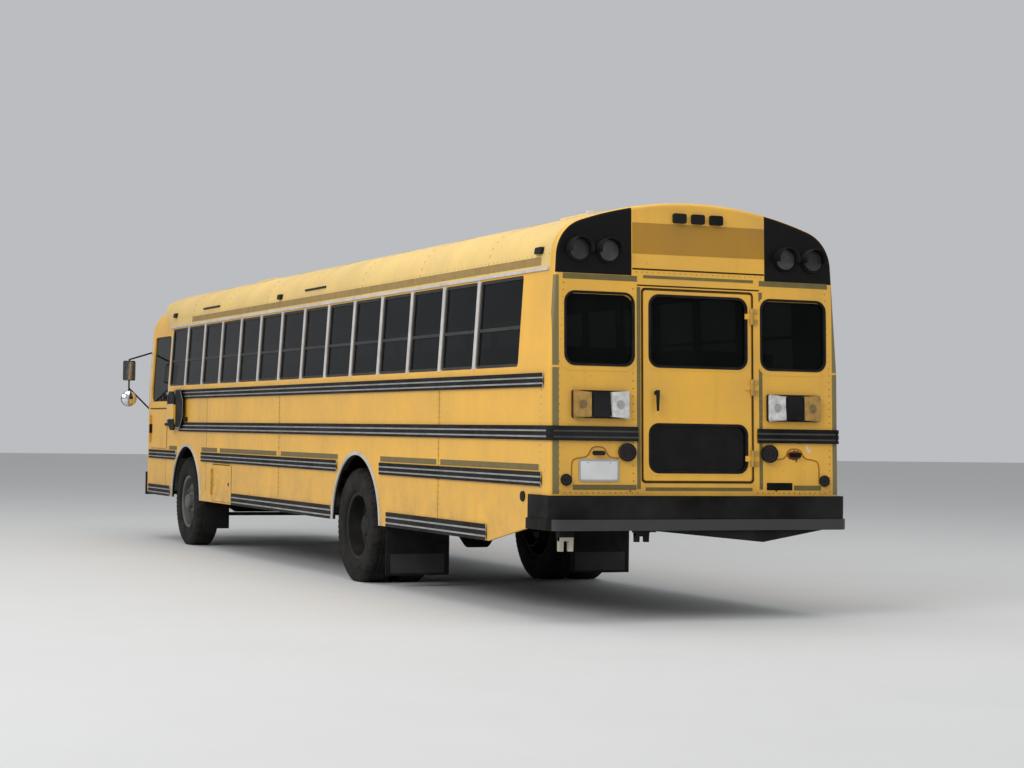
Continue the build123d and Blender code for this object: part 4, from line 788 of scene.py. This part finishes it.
# Wheel nuts and the ends of their studs, on a circle on each outer disc
NUT_COUNT = 10
NUT_PARTS = ((0.0165, -0.002, 0.022), (0.009, 0.020, 0.036))
for name, ride, station, face_y, circle_radius in (("front", "wheel_front", FRONT_AXLE, 1.106, 0.145),
                                                   ("rear", "wheels_rear", REAR_AXLE, 0.899, 0.150)):
    for end, side in WHEEL_SIDES:
        nuts = []
        for i in range(NUT_COUNT):
            a = 2 * math.pi * (i + 0.5) / NUT_COUNT
            x, z = station - MIDDLE + circle_radius * math.cos(a), AXLE_Z + circle_radius * math.sin(a)
            for radius, near, far in NUT_PARTS:
                outline = circle(x, z, radius, 60)
                nuts.append(prism([(u, side * (face_y + near), v) for u, v in outline],
                                  [(u, side * (face_y + far), v) for u, v in outline]))
        piece("wheel_nuts_" + name + end, hub_metal, nuts, ride + end)


# Reflective tape on the roof's edge, round the body and round the rear door

TAPE_OUT = 0.0015
piece("roof_tape_strips", roof_tape,
      [strip_on_side(0.30, 10.19, spread(2.580, 2.642, 4), side, TAPE_OUT) for side in (1, -1)])
side_tapes = ((0.19, 2.13), (2.22, 3.56), (4.71, 6.48), (6.63, 8.735), (8.855, 9.507), (10.62, 10.985))
rear_tapes = ((0.474, 0.503, 0.962, 2.435), (-0.546, -0.517, 0.962, 2.435), (0.510, 1.020, 0.956, 0.993),
              (-1.047, -0.813, 0.956, 0.993), (-0.455, 0.435, 0.950, 0.975), (0.500, 1.097, 2.474, 2.515),
              (-1.115, -0.520, 2.482, 2.522), (-0.470, 0.450, 2.502, 2.524))
tapes = [strip_on_side(x0, x1, (1.089, 1.134), side, TAPE_OUT) for side in (1, -1) for x0, x1 in side_tapes]
tapes += [patch_on_rear(*edges, TAPE_OUT) for edges in rear_tapes]
piece("tape_strips", tape, tapes)

# The sign's field over the door, without its words
sign_corners = [(-0.566, 2.686), (0.538, 2.680), (0.538, 2.908), (-0.566, 2.914)]
piece("sign_band", sign_paint, [on_rear(sign_corners, -SUNK, 0.0012)])

# Dark seams between the panels, on the sides, on the roof's shoulders and over the rear door
seams = []
SEAM_OUT = 0.001
WIDE_SEAM_OUT = 0.0012
roof_seam_heights = [2.57 + 0.43 * (1 - (1 - i / 11) ** 2) for i in range(12)]
for side in (1, -1):
    for x in (2.174, 6.553, 9.30):
        for z0, z1 in ((0.66, 1.31), (1.414, 1.69)):
            seams.append(strip_on_side(x - 0.0025, x + 0.0025, (z0, z1), side, SEAM_OUT))
    seams.append(strip_on_side(11.128, 11.132, (0.66, 1.66), side, SEAM_OUT))
    if side > 0:
        # beside and over the panel under the driver's window, and the same at the battery door
        for x0, x1, z0, z1 in ((11.100, 11.112, 1.100, 1.580), (11.110, 11.960, 1.577, 1.587),
                               (8.256, 8.268, 0.546, 0.955), (8.330, 9.020, 0.948, 0.958)):
            seams.append(strip_on_side(x0, x1, (z0, z1), side, WIDE_SEAM_OUT))
    for x in (1.3, 2.774, 4.25, 5.727, 7.20, 8.68, 10.16):
        seams.append(strip_on_side(x - 0.003, x + 0.003, roof_seam_heights, side, WIDE_SEAM_OUT))
for y0, y1, z0, z1 in ((-0.565, 0.538, 2.562, 2.574), (-0.520, 0.500, 2.4430, 2.4540)):
    seams.append(patch_on_rear(y0, y1, z0, z1, SEAM_OUT))
piece("panel_seams", seam, seams)

# Rivets in rows
rivets = []


def rear_rivets(places, radius=0.006, height=0.003):
    for y, z in places:
        rivets.append(dome((rear_at(z) - MIDDLE, y, z), (-1, 0, 0), radius, height))


def side_rivets(stations, y, z, side, tilt=0.0):
    for x in stations:
        rivets.append(dome((x - MIDDLE, side * y, z), (0, side, tilt), 0.0055, 0.0028))


for side in (-1, 1):
    # at the rear corners, beside the door and along the floor's edge
    corner_heights = [0.95 + k * 0.0515 for k in range(30)]
    corner_heights = [z for z in corner_heights if not 1.29 < z < 1.43]
    rear_rivets([(side * (side_point(min(z, 2.45))[0] - 0.078), z) for z in corner_heights])
    rear_rivets([(side * 0.534, 1.02 + k * 0.056) for k in range(26)])
    rear_rivets([(side * (0.50 + k * 0.045), 0.935) for k in range(14)])
    # over the side windows and at the panels' ends, between the rails
    side_rivets([0.16 + k * 0.08 for k in range(137)], *side_point(2.658), side, 0.5)
    for k in range(20):
        z = 0.72 + k * 0.05
        if not (0.97 < z < 1.085 or 1.30 < z < 1.42 or 1.685 < z < 1.80):
            side_rivets((0.165, 2.15, 2.20, 6.53, 6.58), HALF_WIDTH, z, side)
rear_rivets([(-0.535 + k * 0.0452, 2.545) for k in range(24)], 0.005, 0.0025)
piece("rivets", rivet_paint, rivets, smooth=True)

# Pressed surrounds and rubber round the rear windows and the door's panes.
# Outer and inner outline of each: right and left edge, lower and upper edge, corner radius
rear_panes = {
    "bus": (((0.505, 1.128, 1.815, 2.408, 0.095), (0.521, 1.086, 1.850, 2.390, 0.085)),
            ((-1.128, -0.505, 1.815, 2.408, 0.095), (-1.100, -0.528, 1.850, 2.390, 0.085))),
    "emergency_door_body": (((-0.438, 0.438, 1.833, 2.396, 0.100), (-0.419, 0.408, 1.850, 2.388, 0.085)),
                            ((-0.436, 0.436, 1.062, 1.462, 0.100), (-0.419, 0.408, 1.078, 1.443, 0.080))),
}
OVERLAP = 0.001
GASKET = 0.018
for ride, panes in rear_panes.items():
    surrounds, gaskets = [], []
    for outer, inner in panes:
        surrounds.append(ring_on_rear(rounded(*outer), rounded(*inner), -SUNK, 0.002))
        y0, y1, z0, z1, r = inner
        lip = rounded(y0 - OVERLAP, y1 + OVERLAP, z0 - OVERLAP, z1 + OVERLAP, r)
        edge = rounded(y0 + GASKET, y1 - GASKET, z0 + GASKET, z1 - GASKET, r - GASKET)
        gaskets.append(ring_on_rear(lip, edge, -0.012, 0.005))
    piece("pane_surrounds_" + ride, body_worn, surrounds, ride)
    piece("pane_gaskets_" + ride, rubber, gaskets, ride)
seal_lines = (rounded(-0.468, 0.468, 1.006, 2.432, 0.03), rounded(-0.4555, 0.4555, 1.0185, 2.4195, 0.025))
piece("door_seal", seam, [ring_on_rear(*seal_lines, -SUNK, 0.003)])

# Licence plate, blank, in its frame with two screws
PLATE_Y = 0.813
SCREW_OFFSET = 0.0889
SCREW_Z = 1.152
SCREW_X = rear_at(SCREW_Z) - 0.0055 - MIDDLE
plate = on_rear(rounded(0.660, 0.966, 1.024, 1.168, 0.012, 3), 0.0040, 0.0055)
piece("licence_plate", plate_white, [plate])
frame_lines = (rounded(0.652, 0.974, 1.016, 1.176, 0.014, 3), rounded(0.666, 0.960, 1.030, 1.162, 0.010, 3))
screws = [dome((SCREW_X, y, SCREW_Z), (-1, 0, 0), 0.006, 0.004)
          for y in (PLATE_Y - SCREW_OFFSET, PLATE_Y + SCREW_OFFSET)]
piece("licence_frame", chrome, [ring_on_rear(*frame_lines, 0.0005, 0.0065)] + screws)

# The line pressed round the plate and its lamp: a hump with eased corners, on both sides of the door, drawn
# as a darker strip of painted shade along the pressed edge
pressings = []
LINE_HALF = 0.004
EASE = 0.42
hump_corners = [(0.652, 1.183), (0.735, 1.192), (0.768, 1.266), (0.868, 1.266),
                (0.903, 1.192), (0.985, 1.184), (1.031, 1.165), (1.031, 1.005)]
hump = [hump_corners[0]]
for before, corner, after in zip(hump_corners, hump_corners[1:], hump_corners[2:]):
    near = [corner[k] + (before[k] - corner[k]) * EASE for k in (0, 1)]
    far = [corner[k] + (after[k] - corner[k]) * EASE for k in (0, 1)]
    for t in spread(0, 1, 7):
        hump.append([(1 - t) ** 2 * near[k] + 2 * t * (1 - t) * corner[k] + t ** 2 * far[k] for k in (0, 1)])
hump.append(hump_corners[-1])
for side in (-1, 1):
    line = [Vector((side * y, z)) for y, z in hump]
    for a, b in zip(line, line[1:]):
        run = (b - a).normalized()
        off = Vector((-run.y, run.x)) * LINE_HALF
        pressings.append(on_rear([a - off, b - off, b + off, a + off], -SUNK, 0.0035))
piece("plate_pressing_shade", pressing_shade_line, pressings)

# Rings moulded on the round rear lamps: place, the two radii of each ring and how far it stands out
LARGE_LAMP = (0.592, 1.228, 0.036)
SMALL_LAMP = (1.075, 1.027, 0.016)
ring_sizes = ((LARGE_LAMP, (0.067, 0.058)), (LARGE_LAMP, (0.040, 0.036)), (LARGE_LAMP, (0.020, 0.016)),
              (SMALL_LAMP, (0.043, 0.034)), (SMALL_LAMP, (0.014, 0.006)))
piece("round_lamp_rings", black,
      [ring_on_rear(*[circle(side * y, z, r, 10) for r in radii], out - 0.004, out)
       for side in (-1, 1) for (y, z, out), radii in ring_sizes])

# Lamps over both plate fields, and the small field under the right one
LAMP_Y = 0.818
LAMP_HALF = 0.045
plate_lamps = [on_rear(rounded(y - LAMP_HALF, y + LAMP_HALF, 1.205, 1.237, 0.012, 3), -SUNK, 0.030)
               for y in (-LAMP_Y, LAMP_Y)]
plate_lamps.append(on_rear(rounded(-0.798, -0.578, 0.957, 1.012, 0.006, 2), -SUNK, 0.003))
piece("plate_lamps", black, plate_lamps)

# Bulbs seen as darker middles through the tail lenses
BULB_Z = 1.571
for y, name, material in ((0.655, "white", bulb_grey), (0.9545, "amber", bulb_brown)):
    bulbs = [on_rear(circle(side * y, BULB_Z, 0.033, 20), 0.0436, 0.0450) for side in (-1, 1)]
    piece("tail_lamp_bulbs_" + name, material, bulbs)

# Rust that has run down from seams and screws, and a ring of it round the right plate lamp
stains = []
for y, z, w, h in ((-0.835, 1.200, 0.014, 0.034), (-0.66, 0.958, 0.012, 0.016), (0.56, 0.952, 0.010, 0.012)):
    run_down = [(y - w, z), (y + w, z), (y + w * 0.25, z - h), (y - w * 0.25, z - h * 0.94)]
    stains.append(on_rear(run_down, -SUNK, 0.0007))
rust_ring = []
for degrees in range(0, 360, 15):
    a = math.radians(degrees)
    y = -LAMP_Y + rng.uniform(0.055, 0.075) * math.cos(a)
    rust_ring.append((y, 1.218 + rng.uniform(0.030, 0.042) * math.sin(a)))
stains.append(on_rear(rust_ring, -SUNK, FILM))
piece("rust_runs", rust_stain, stains)

# A pale scrape over the right plate field
scrape = [(-0.916, 1.286), (-0.930, 1.298), (-0.944, 1.265),
          (-0.964, 1.252), (-0.958, 1.238), (-0.934, 1.243)]
piece("pale_scrape", block_white, [on_rear(scrape, -SUNK, FILM)])

# Mud flaps' lower sheets with a worn relief
piece("flap_sheets", rubber,
      [block(3.4660, 3.4738, side * 0.585, side * 1.172, 0.105, 0.520) for side in (-1, 1)])
piece("flap_reliefs", flap_print,
      [block(3.4640, 3.4662, side * 0.630, side * 1.130, 0.125, 0.290) for side in (-1, 1)])

# Two tow hooks under the rear bumper: two prongs and a bar, on a mount that reaches up behind the bumper
MOUNT_TOP = 0.680
for name, material, y, z0, z1 in (("tow_hook_left", cream, 1.086, 0.517, 0.625),
                                  ("tow_hook_middle", black, 0.480, 0.580, 0.655)):
    parts = ((y - 0.055, y - 0.022, z0), (y + 0.022, y + 0.055, z0), (y - 0.055, y + 0.055, z1 - 0.035))
    hook = [block(-0.045, -0.010, y0, y1, low, z1, -0.005) for y0, y1, low in parts]
    piece(name, material, hook)
    mount = block(-0.050, 0.010, y - 0.058, y + 0.058, z1 - 0.008, MOUNT_TOP)
    piece(name + "_mount", black, [mount])

# Bright frames at the driver's window, and the battery door's latch
frame_heights = spread(1.645, 2.460, 10)
piece("driver_window_frames", block_white,
      [strip_on_side(x0, x1, frame_heights, 1, 0.004) for x0, x1 in ((11.028, 11.056), (11.955, 11.985))])
latch = dome((8.379 - MIDDLE, HALF_WIDTH, 0.746), (0, 1, 0), 0.022, 0.006, 16)
piece("battery_latch", black, [latch], "battery_door_body")

# Small blocks beside the rear hatch
places = ((0.345, 0.395, 3.050), (0.253, 0.322, 3.060))
piece("roof_blocks", block_white,
      [block(1.13, 1.17, y0, y1, z0, 3.100, 0.002) for y0, y1, z0 in places])

# Vents on the roof's sides
vent_stations = ((9.043, 9.721), (5.308, 5.936))
piece("roof_vents", black,
      [strip_on_side(x0, x1, (2.700, 2.716), side, 0.012) for side in (-1, 1) for x0, x1 in vent_stations])

# Stop arm: a bright edge round the folded octagon, and pale edges on its box
ARM_X = 10.425
ARM_Z = 1.575
ARM_HALF = 0.2285
ARM_FACE = HALF_WIDTH + 0.042


def octagon(scale):
    reach = ARM_HALF / math.cos(math.pi / 8) * scale
    angles = [math.radians(22.5 + 45 * i) for i in range(8)]
    return [(ARM_X + reach * math.cos(a) - MIDDLE, ARM_Z + reach * math.sin(a)) for a in angles]


outer, inner = octagon(0.985), octagon(0.955)
near, far = ARM_FACE + 0.0078, ARM_FACE + 0.0092
edge_outlines = ((outer, near), (outer, far), (inner, far), (inner, near))
edge_points = [(x, y, z) for points, y in edge_outlines for x, z in points]
piece("stop_arm_edge", silver, [(edge_points, loops(4, 8))], "stop_arm_body")
box_edges = [block(10.53, 10.846, 1.2812, 1.2830, z - 0.008, z + 0.008) for z in (1.458, 1.620)]
piece("stop_arm_box_edge", white_trim, box_edges, "stop_arm_body")


# Seats: padded benches with a rolled top and sewn edges, and the driver's seat

def cushion(x0, x1, y0, y1, z0, z1, lean, crown, n=8, m=12, pull=0.012):
    # a crowned closed pad: its middle swells and its edges are pulled in between the corners
    layers = 4
    seam_depth, swell = 0.012, 0.008
    x0, x1 = x0 - MIDDLE, x1 - MIDDLE

    def point(i, j, k):
        u, v, w = i / n, j / m, k / layers
        su, sv = 4 * u * (1 - u), 4 * v * (1 - v)
        x = x0 + (x1 - x0) * u
        y = y0 + (y1 - y0) * v
        z = z0 + (z1 - z0) * w
        if k == layers:
            z += crown * (su * sv) ** 0.5 - seam_depth * (1 - min(1.0, su * 6) * min(1.0, sv * 8))
        bulge = swell * math.sin(math.pi * w)
        if i in (0, n):
            inward = 1 if i == 0 else -1
            x += inward * (pull * (sv - 1) * 0.8 - bulge)
        if j in (0, m):
            inward = 1 if j == 0 else -1
            y += inward * (pull * (su - 1) * 0.8 - bulge)
        return (x - lean * (z - z0), y, z)

    verts, index = [], {}
    for i in range(n + 1):
        for j in range(m + 1):
            for k in range(layers + 1):
                if i in (0, n) or j in (0, m) or k in (0, layers):
                    index[i, j, k] = len(verts)
                    verts.append(point(i, j, k))

    def side_faces(steps_a, steps_b, ends, place):
        # the two opposite sides of the pad, whose grids run along the two given directions
        corners = ((0, 0), (1, 0), (1, 1), (0, 1))
        return [tuple(index[place(a + da, b + db, end)] for da, db in corners)
                for a in range(steps_a) for b in range(steps_b) for end in ends]

    faces = side_faces(n, m, (0, layers), lambda i, j, k: (i, j, k))
    faces += side_faces(n, layers, (0, m), lambda i, k, j: (i, j, k))
    faces += side_faces(m, layers, (0, n), lambda j, k, i: (i, j, k))
    return verts, faces


def padded_piece(name, node, pads):
    shown = piece(name, vinyl, pads, smooth=True)
    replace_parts(shown, node)


# Thirteen rows of benches on both sides of the aisle
ROWS = 13
FIRST_ROW = 1.010
ROW_PITCH = 0.713
bench_pads = []
for row in range(ROWS):
    x = FIRST_ROW + row * ROW_PITCH
    for side in (-1, 1):
        y0, y1 = sorted((side * 0.165, side * 1.135))
        y0, y1 = y0 + 0.006, y1 - 0.006
        bench_pads.append(cushion(x + 0.004, x + 0.396, y0, y1, 1.301, 1.400, 0.0, 0.018))
        bench_pads.append(cushion(x - 0.074, x - 0.004, y0, y1, 1.330, 2.016, 0.075, 0.008, 4, 12, 0.006))
padded_piece("bench_pads", "seats", bench_pads)
padded_piece("driver_pads", "driver_seat", [
    cushion(10.965, 11.415, 0.505, 0.955, 1.332, 1.440, 0.0, 0.02),
    cushion(10.950, 11.035, 0.505, 0.955, 1.455, 2.050, 0.17, 0.008, 4, 10, 0.006),
])
pedestal = block(11.02, 11.33, 0.56, 0.90, FLOOR_Z, FLOOR_Z + 0.3, 0.03, 0.04)
piece("driver_pedestal", chassis, [pedestal])

# Studio: pale floor, soft lights, and the photograph's camera
floor_material = plain("studio_floor", (0.62, 0.62, 0.61), 0.75, 0.0, 0.03, 3, 0.0002)
bpy.ops.mesh.primitive_plane_add(size=160, location=(0, 0, -0.001))
ground = bpy.context.object
ground.name = "studio_floor"
ground.data.materials.append(floor_material)

world = bpy.data.worlds.new("studio_world")
bpy.context.scene.world = world
world.use_nodes = True
background = world.node_tree.nodes["Background"]
background.inputs["Color"].default_value = (0.80, 0.82, 0.85, 1)
background.inputs["Strength"].default_value = 0.62


def area_light(name, place, target, size, power):
    data = bpy.data.lights.new(name, "AREA")
    data.shape = "RECTANGLE"
    data.size = size[0]
    data.size_y = size[1]
    data.energy = power
    lamp = bpy.data.objects.new(name, data)
    bpy.context.collection.objects.link(lamp)
    lamp.location = place
    lamp.rotation_euler = (Vector(target) - Vector(place)).to_track_quat("-Z", "Y").to_euler()


area_light("key_light", (-13, 18, 13), (0, 0, 1.5), (14, 9), 2700)
area_light("top_light", (-2, 2, 16), (0, 0, 1.5), (22, 12), 1500)
area_light("rear_light", (-18, -8, 8), (-6, 0, 1.6), (8, 6), 90)

camera_data = bpy.data.cameras.new("photo_camera")
camera = bpy.data.objects.new("photo_camera", camera_data)
bpy.context.collection.objects.link(camera)
level = math.cos(CAMERA_PITCH)
forward = Vector((math.cos(CAMERA_YAW) * level, math.sin(CAMERA_YAW) * level, math.sin(CAMERA_PITCH)))
right = forward.cross(Vector((0, 0, 1))).normalized()
up = right.cross(forward)
turned_right = math.cos(CAMERA_ROLL) * right + math.sin(CAMERA_ROLL) * up
turned_up = -math.sin(CAMERA_ROLL) * right + math.cos(CAMERA_ROLL) * up
turn = Matrix((turned_right, turned_up, -forward)).transposed()
camera.matrix_world = Matrix.Translation(CAMERA_PLACE) @ turn.to_4x4()
camera_data.sensor_width = 36
camera_data.lens = CAMERA_LENS
camera_data.clip_end = 300
bpy.context.scene.camera = camera
bpy.context.scene.view_settings.view_transform = "Standard"

bpy.context.view_layer.update()
